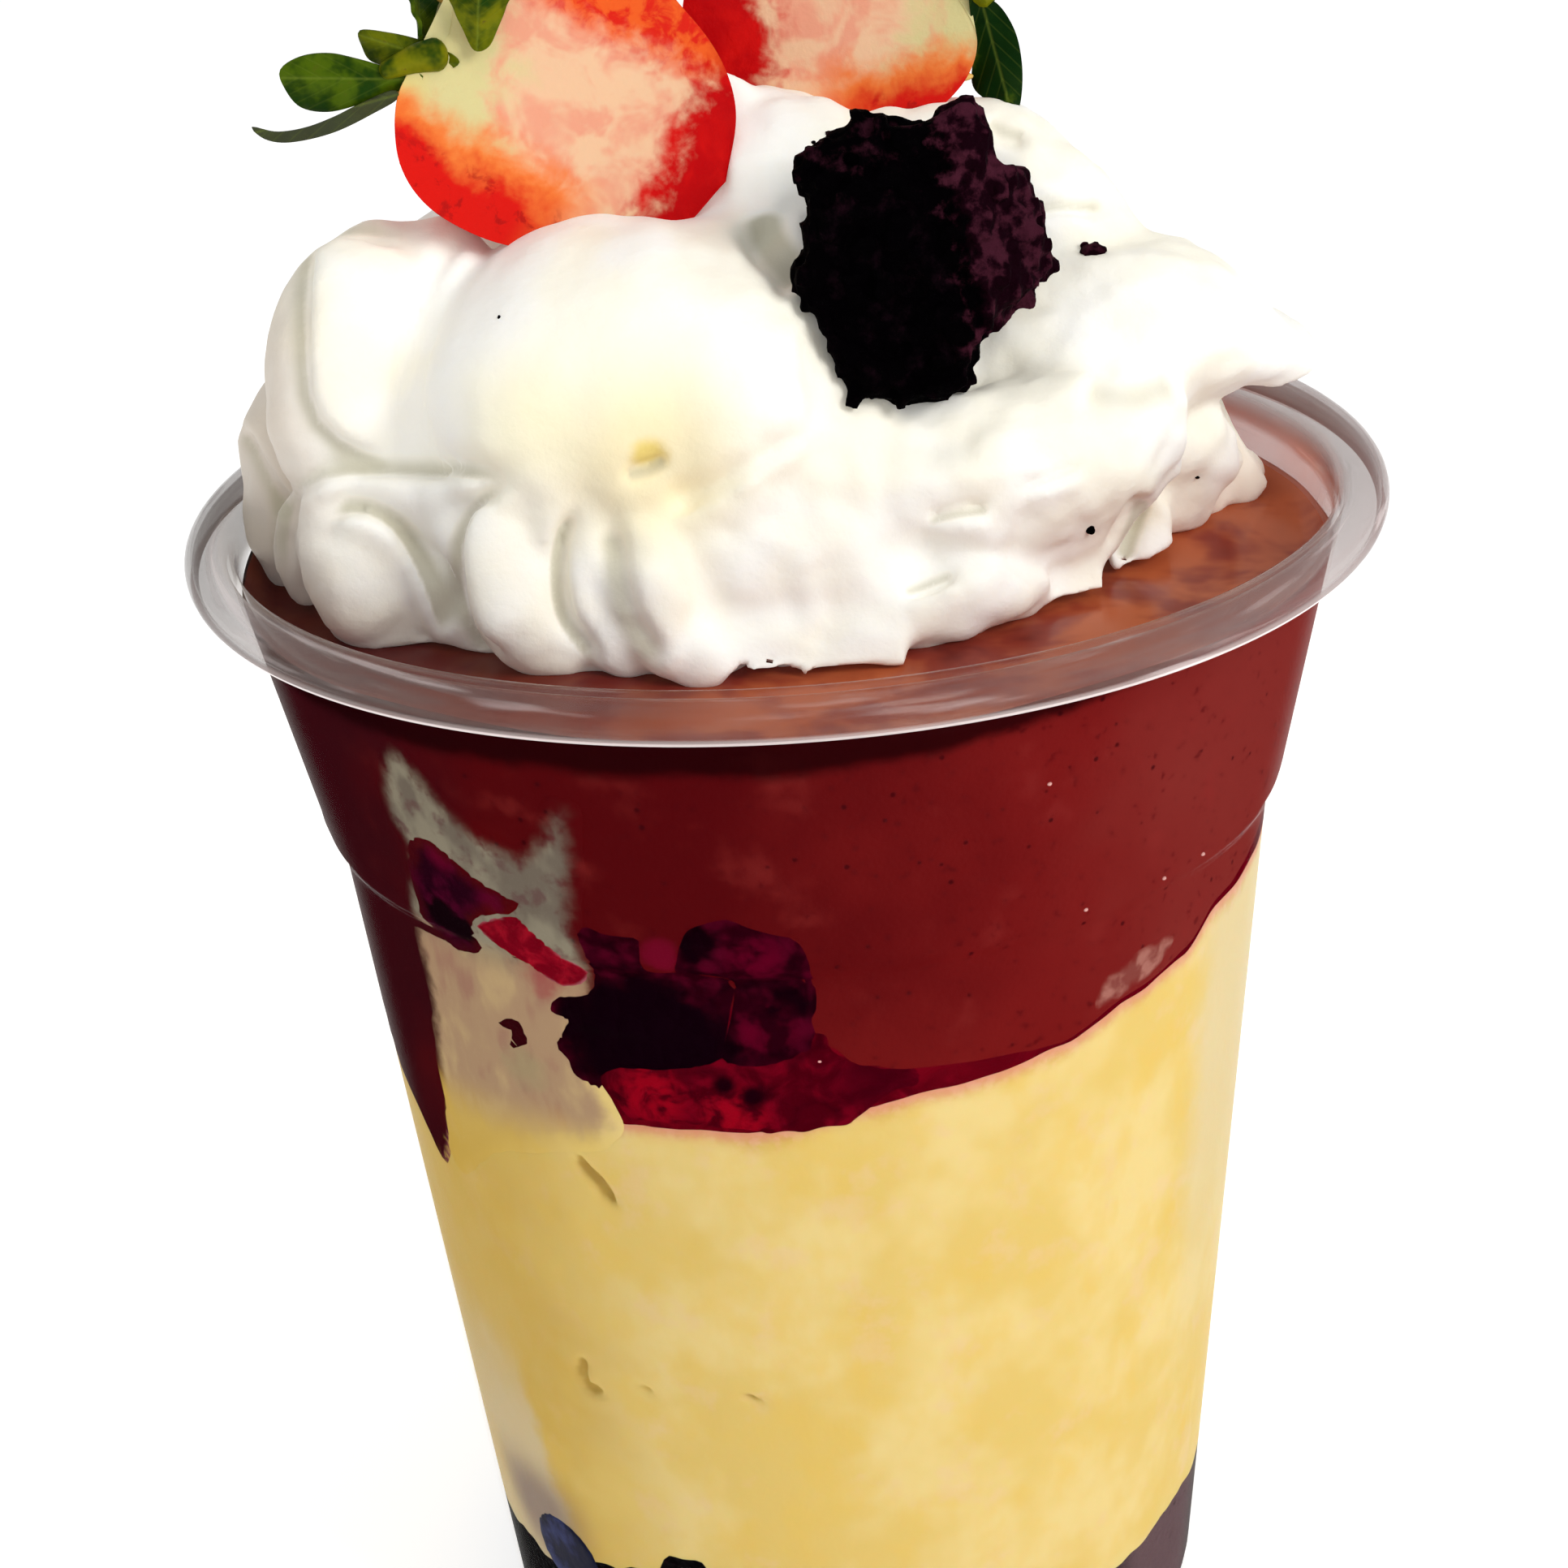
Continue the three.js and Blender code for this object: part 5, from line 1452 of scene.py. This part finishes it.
flesh = strawberryFinish()
seedLook = beadFinish("strawberrySeed", (214, 150, 54), (240, 206, 120), 2)
for name, b in strawberries.items():
    berry, berrySeeds = halfBerry(name, b)
    finished(berry, flesh, "strawberry", b["node"], angle=50)
    finished(berrySeeds, seedLook, "strawberry")
print("strawberries made")


# Leaves

calyxes = {
    "calyxLeft": {
        "node": "calyx_left",
        "hub": [(-24.2, -4.6, 144.8, 1.3), (-25.8, -4.8, 144.6, 1.1), (-28, -5.2, 144, 0.7)],
        "leaves": [{"path": [(-25.4, -3.8, 145.6), (-25.6, -0.5, 147.6), (-24.6, 3, 149.4)],
                    "half": 1.8, "up": (0.6, 0.5, 0.5), "tint": (0.3, 0.2, 0)}],
        # the leaves in front: outline and rib in pixels, depth at the rib's start and end,
        # and how yellow, dark and grey they are
        "sheets": [
            {"seen": [(345, 86), (370, 70), (405, 66), (440, 73), (480, 84), (520, 92), (510, 108),
             (472, 116), (445, 128), (405, 138), (370, 132), (350, 108)],
             "rib": [(520, 98), (345, 96)], "depth": (-5, -6.5), "tint": (0.2, 0.1, 0)},
            {"seen": [(443, 38), (480, 41), (515, 49), (545, 60), (566, 78), (535, 90), (492, 84),
             (458, 76), (446, 58)],
             "rib": [(560, 80), (446, 44)], "depth": (-4.6, -3.6), "tint": (0.7, 0.1, 0)},
            {"seen": [(310, 157), (340, 163), (375, 158), (410, 145), (440, 130), (482, 112), (490, 122),
             (458, 141), (420, 160), (385, 171), (350, 176), (325, 171)],
             "rib": [(485, 118), (312, 164)], "depth": (-5.6, -7.4), "tint": (0.2, 0.6, 0.7)},
            {"seen": [(556, -12), (559, 12), (570, 36), (584, 62), (602, 58), (614, 34), (624, 8),
             (626, -12)],
             "rib": [(588, 60), (590, -12)], "depth": (-5.2, -5.6), "tint": (0.9, 0, 0)},
        ],
    },
    "calyxRight": {
        "node": "calyx_right",
        "hub": [(18.6, 9.6, 144.6, 2), (19.1, 9.6, 144.7, 1.7), (19.6, 9.6, 144.8, 1.4)],
        "leaves": [
            {"path": [(18.8, 9.4, 145), (18.8, 8.8, 149), (17, 8, 152.4)],
             "half": 1.8, "up": (1, -0.5, 0.2), "tint": (0.3, 0.3, 0)},
            {"path": [(19, 9.8, 145), (21.2, 12.6, 145.8), (23.6, 15.2, 143.8)],
             "half": 1.7, "up": (0.4, -0.3, 1), "tint": (0.2, 0.6, 0)}],
        "sheets": [
            {"seen": [(1196, -8), (1222, 0), (1240, 18), (1254, 48), (1260, 90), (1256, 132), (1242, 143),
             (1216, 124), (1198, 104), (1200, 60), (1196, 20)],
             "rib": [(1208, -4), (1246, 138)], "depth": (8.6, 7), "tint": (0.1, 0.95, 0)},
        ],
    },
}


def leafBlade(name, path, half, up, tint):
    bpy.ops.mesh.primitive_grid_add(x_subdivisions=28, y_subdivisions=10, size=2 * mm)
    piece = named(name)
    line = smoothLine(path, 60)
    along = np.gradient(line, axis=0)
    along /= np.linalg.norm(along, axis=1)[:, None]
    across = np.cross(np.array(up), along)
    across /= np.linalg.norm(across, axis=1)[:, None]
    normal = np.cross(along, across)

    def shape(points):
        t = (points[:, 0] + 1) / 2
        side = points[:, 1]
        last = len(line) - 1
        at = np.clip((t * last).astype(int), 0, last)
        width = half * (0.1 + 0.9 * np.sin(math.pi * (0.08 + 0.9 * t)) ** 0.75)
        width *= np.clip((1.02 - t) / 0.14, 0.05, 1)
        groove = -0.22 * np.exp(-(side / 0.12) ** 2) * np.sin(math.pi * t)
        ripple = 0.12 * np.sin(t * 26 + np.abs(side) * 5) * np.abs(side)
        lift = 0.25 * width * side * side + 0.3 * np.sin(5 * t + 2 * side) + groove + ripple
        return line[at] + across[at] * (width * side)[:, None] + normal[at] * lift[:, None]

    keep(piece, "leafPlace", np.c_[(pointsOf(piece)[:, :2] + 1) / 2, np.zeros(len(piece.data.vertices))])
    movePoints(piece, shape)
    modify(piece, "SMOOTH", factor=0.5, iterations=1)
    modify(piece, "SOLIDIFY", thickness=0.32 * mm, offset=0)
    keepSame(piece, "leafTint", tint)
    return piece


def leafSheet(name, seen, rib, depth, tint):
    # a leaf whose outline the photo shows
    piece = plate(name, smoothLine(drawn(seen), 72, closed=True), 0.3, 0.55)
    flat = pointsOf(piece)
    start, end = drawn(rib)
    along = (end - start) / np.linalg.norm(end - start)
    offset = flat[:, [0, 2]] - start
    part = offset @ along / np.linalg.norm(end - start)
    beside = offset @ np.array((-along[1], along[0]))
    keep(piece, "leafPlace", np.c_[part, 0.5 + beside / 7, np.zeros(len(flat))])
    keepSame(piece, "leafTint", tint)
    bend = 0.1 * beside ** 2 + 0.3 * np.sin(6 * part + 0.8 * beside) - 0.35 * np.exp(-(beside / 0.3) ** 2)
    bend = bend + 0.12 * np.sin(20 * part - 2.5 * np.abs(beside))
    away = depth[0] + (depth[1] - depth[0]) * part + bend
    return cleaned(movePoints(piece, lambda points: stood(*sheetSeen(points), away) + points * (0, 1, 0)))


def leafFinish():
    f = Finish("strawberryLeaf")
    along, across, _ = f.parts(f.kept("leafPlace", "Vector"))
    yellow, dark, grey = f.parts(f.kept("leafTint", "Vector"))
    tone = f.speckle(2.6, 3, 0.6)
    fine = f.speckle(0.6, 3, 0.6)
    off = f.maths("ABSOLUTE", {0: across - 0.5})
    wave = f.maths("SINE", {0: (along * 6 - off * 7) * math.tau})
    vein = f.step(off, 0.03, 0.0) + 0.3 * f.step(wave, 0.8, 0.99)
    body = f.coats(
        (22, 54, 3), ((54, 88, 5), f.step(tone, 0.4, 0.62)),
        ((118, 116, 8), yellow * f.step(tone, 0.3, 0.66)),
        ((4, 32, 2), dark * f.step(tone, 0.85, 0.6)),
        ((74, 72, 58), grey * 0.8),
        ((84, 62, 28), f.step(tone + 0.2 * (fine - 0.5), 0.63, 0.7) * yellow * 0.8),
        ((124, 140, 50), vein * 0.22))
    return f.surface(body, 0.4 + 0.15 * fine, (0.3 * fine - 0.4 * vein, 0.12), 0.06)


leafGreen = leafFinish()
for name, c in calyxes.items():
    hub = rolls(name + "Hub", [c["hub"]])
    keepSame(hub, "leafPlace", (0.5, 0.8, 0))
    keepSame(hub, "leafTint", (1, 0, 0))
    leaves = [leafBlade(f"{name}Leaf{n}", **settings) for n, settings in enumerate(c["leaves"])]
    leaves += [leafSheet(f"{name}Sheet{n}", **settings) for n, settings in enumerate(c["sheets"])]
    finished(cleaned(joined(name, [hub, *leaves])), leafGreen, "leaf", c["node"])
print("leaves made")


# Brownie piece

chunk = {
    # its outline in pixels, the depth of its front at the foot and how far that leans back
    "seen": [(1053, 140), (1045, 158), (1012, 170), (986, 188), (976, 220), (992, 236), (990, 279),
     (992, 329), (975, 336), (974, 362), (998, 389), (1014, 417), (1028, 466), (1045, 497), (1116, 503),
     (1149, 494), (1184, 491), (1195, 460), (1209, 417), (1237, 389), (1264, 373), (1289, 345),
     (1305, 329), (1300, 301), (1284, 290), (1281, 246), (1267, 206), (1237, 208), (1223, 200),
     (1212, 146), (1202, 118), (1187, 118), (1160, 132), (1154, 145), (1127, 148), (1091, 151),
     (1066, 137)],
    "depth": -17,
    "lean": 0.007,
    "foot": 503,
    "thick": 10,
    "corner": 1205,     # to the right of this pixel its front turns back
    "cornerTurn": 0.06,
    "middle": (1130, 330),
    "taper": 0.22,      # how much smaller its back is
    "crumbs": 1200,
    "crumb": (0.6, 1.3),
    "voxel": 0.28,
}


def makeChunk():
    outline = drawn(chunk["seen"])
    core = plate("browniePiece", outline * 0.96 + outline.mean(axis=0) * 0.04, chunk["thick"], 1.1)

    def stand(points):
        inwards = points[:, 1] / chunk["thick"]
        taper = 1 - chunk["taper"] * inwards ** 2
        x, y = (at + (seen - at) * taper for at, seen in zip(chunk["middle"], sheetSeen(points)))
        away = chunk["depth"] + chunk["lean"] * (chunk["foot"] - y) + points[:, 1]
        past = np.maximum(x - chunk["corner"], 0)
        return stood(x, y, away + chunk["cornerTurn"] * past * (1 - 0.6 * inwards))

    cleaned(movePoints(core, stand))
    rng = random.Random(11)
    faces = [face for face in core.data.polygons if face.area > 0]
    areas = np.cumsum([face.area for face in faces])
    places = []
    for _ in range(chunk["crumbs"]):
        face = faces[int(np.searchsorted(areas, rng.uniform(0, areas[-1])))]
        size = rng.uniform(*chunk["crumb"])
        where = face.center / mm + Vector(rng.uniform(-0.5, 0.5) for _ in range(3))
        where = where - face.normal * 0.12 * size
        turn = [rng.uniform(-0.25, 0.25) for _ in range(3)]
        places.append(placed(where, turn, [size * rng.uniform(0.8, 1.3) for _ in range(3)]))
    bpy.ops.mesh.primitive_cube_add(size=mm)
    piece = joined("browniePiece", [core, copies("crumbs", named("crumb"), places)])
    modify(piece, "REMESH", mode="VOXEL", voxel_size=chunk["voxel"] * mm)
    return movePoints(piece, lambda points: points + 0.08 * np.stack(
        [grain(points, 0.8, seed) for seed in (6, 9, 12)], axis=1))


def makeCrumbs():
    # loose crumbs on the cream, as pixels and size
    crumbs = [(1347, 310, 1.7), (1338, 306, 0.9), (1343, 652, 0.75), (1475, 588, 0.35), (615, 391, 0.28),
              (1020, 165, 0.5), (1002, 176, 0.4)]
    places = []
    for n, (x, y, size) in enumerate(crumbs):
        where = onPiece(whippedCream, x, y)
        places.append(placed(where, (n, 2 * n, 3 * n), (size, 0.8 * size, 0.7 * size)))
    bpy.ops.mesh.primitive_ico_sphere_add(subdivisions=3, radius=0.6 * mm)
    crumb = named("looseCrumb")
    movePoints(crumb, lambda points: points * (1 + 0.3 * grain(points, 0.35, 3))[:, None])
    return copies("looseCrumbs", crumb, places)


def makeHighlightSpecks():
    # tiny pale specks against the wall: painted highlights, made as small pale beads
    places = []
    for x, y in [(1295, 967), (1437, 1083), (1340, 1122), (1010, 1309), (1485, 1053), (930, 1243)]:
        places.append(placed(inWall(x, y, cup["wall"] - 0.35), size=(1, 1, 0.8)))
    bpy.ops.mesh.primitive_ico_sphere_add(subdivisions=2, radius=0.2 * mm)
    return copies("wallHighlightSpecks", named("highlightSpeck"), places)


finished(makeCrumbs(), brownie, "brownie")
# pale pink colours of the painted highlight specks
highlightSpeckLook = beadFinish("wallSpeckHighlight", (196, 120, 116), (226, 180, 170), 0.6)
finished(makeHighlightSpecks(), highlightSpeckLook, "wall_cream")
finished(makeChunk(), brownie, "brownie", "brownie_piece", angle=40)
print("brownie piece made")


# Floor, light and camera

def floorFinish():
    f = Finish("paleFloor")
    tone = f.speckle(60, 2, 0.5)
    return f.surface(f.blend((252, 252, 251), (250, 250, 249), tone), 0.7 + 0.1 * tone, gloss=0.1,
                     more={"Emission Color": (1, 1, 1, 1), "Emission Strength": 0.55})


bpy.ops.mesh.primitive_plane_add(size=60)
floor = named("floor")
floor.data.materials.append(floorFinish())

bpy.ops.object.camera_add(location=viewAt * mm, rotation=turn.to_euler())
view = bpy.context.object
view.data.sensor_width = camera["sensor"]
view.data.lens = camera["focalPixels"] / camera["framePixels"] * camera["sensor"]
view.data.clip_start = 0.01
bpy.context.scene.camera = view

lamps = {
    # where each stands, what it faces, its size and power, and whether it shows in reflections
    "keyLight": ((380, -330, 420), (0, 0, 90), 260, 1.75, False),
    "frontLight": ((-60, -620, 230), (0, 0, 60), 500, 0.42, False),
    "topStrip": ((60, -160, 520), (0, 0, 100), 60, 0.12, True),
    "backLight": ((-200, 480, 420), (0, 0, 100), 360, 0.5, False),
}
for name, (where, target, size, power, mirror) in lamps.items():
    facing = (Vector(where) - Vector(target)).to_track_quat("Z", "Y").to_euler()
    bpy.ops.object.light_add(type="AREA", location=Vector(where) * mm, rotation=facing)
    light = named(name)
    light.data.size = size * mm
    light.data.energy = power
    light.visible_glossy = mirror

world = bpy.data.worlds.new("studio")
bpy.context.scene.world = world
world.use_nodes = True
sky = world.node_tree.nodes["Background"].inputs
sky["Color"].default_value = (1, 1, 1, 1)
sky["Strength"].default_value = 0.47
bpy.context.scene.view_settings.view_transform = "Standard"
bpy.context.scene.cycles.use_denoising = True
print("studio set")
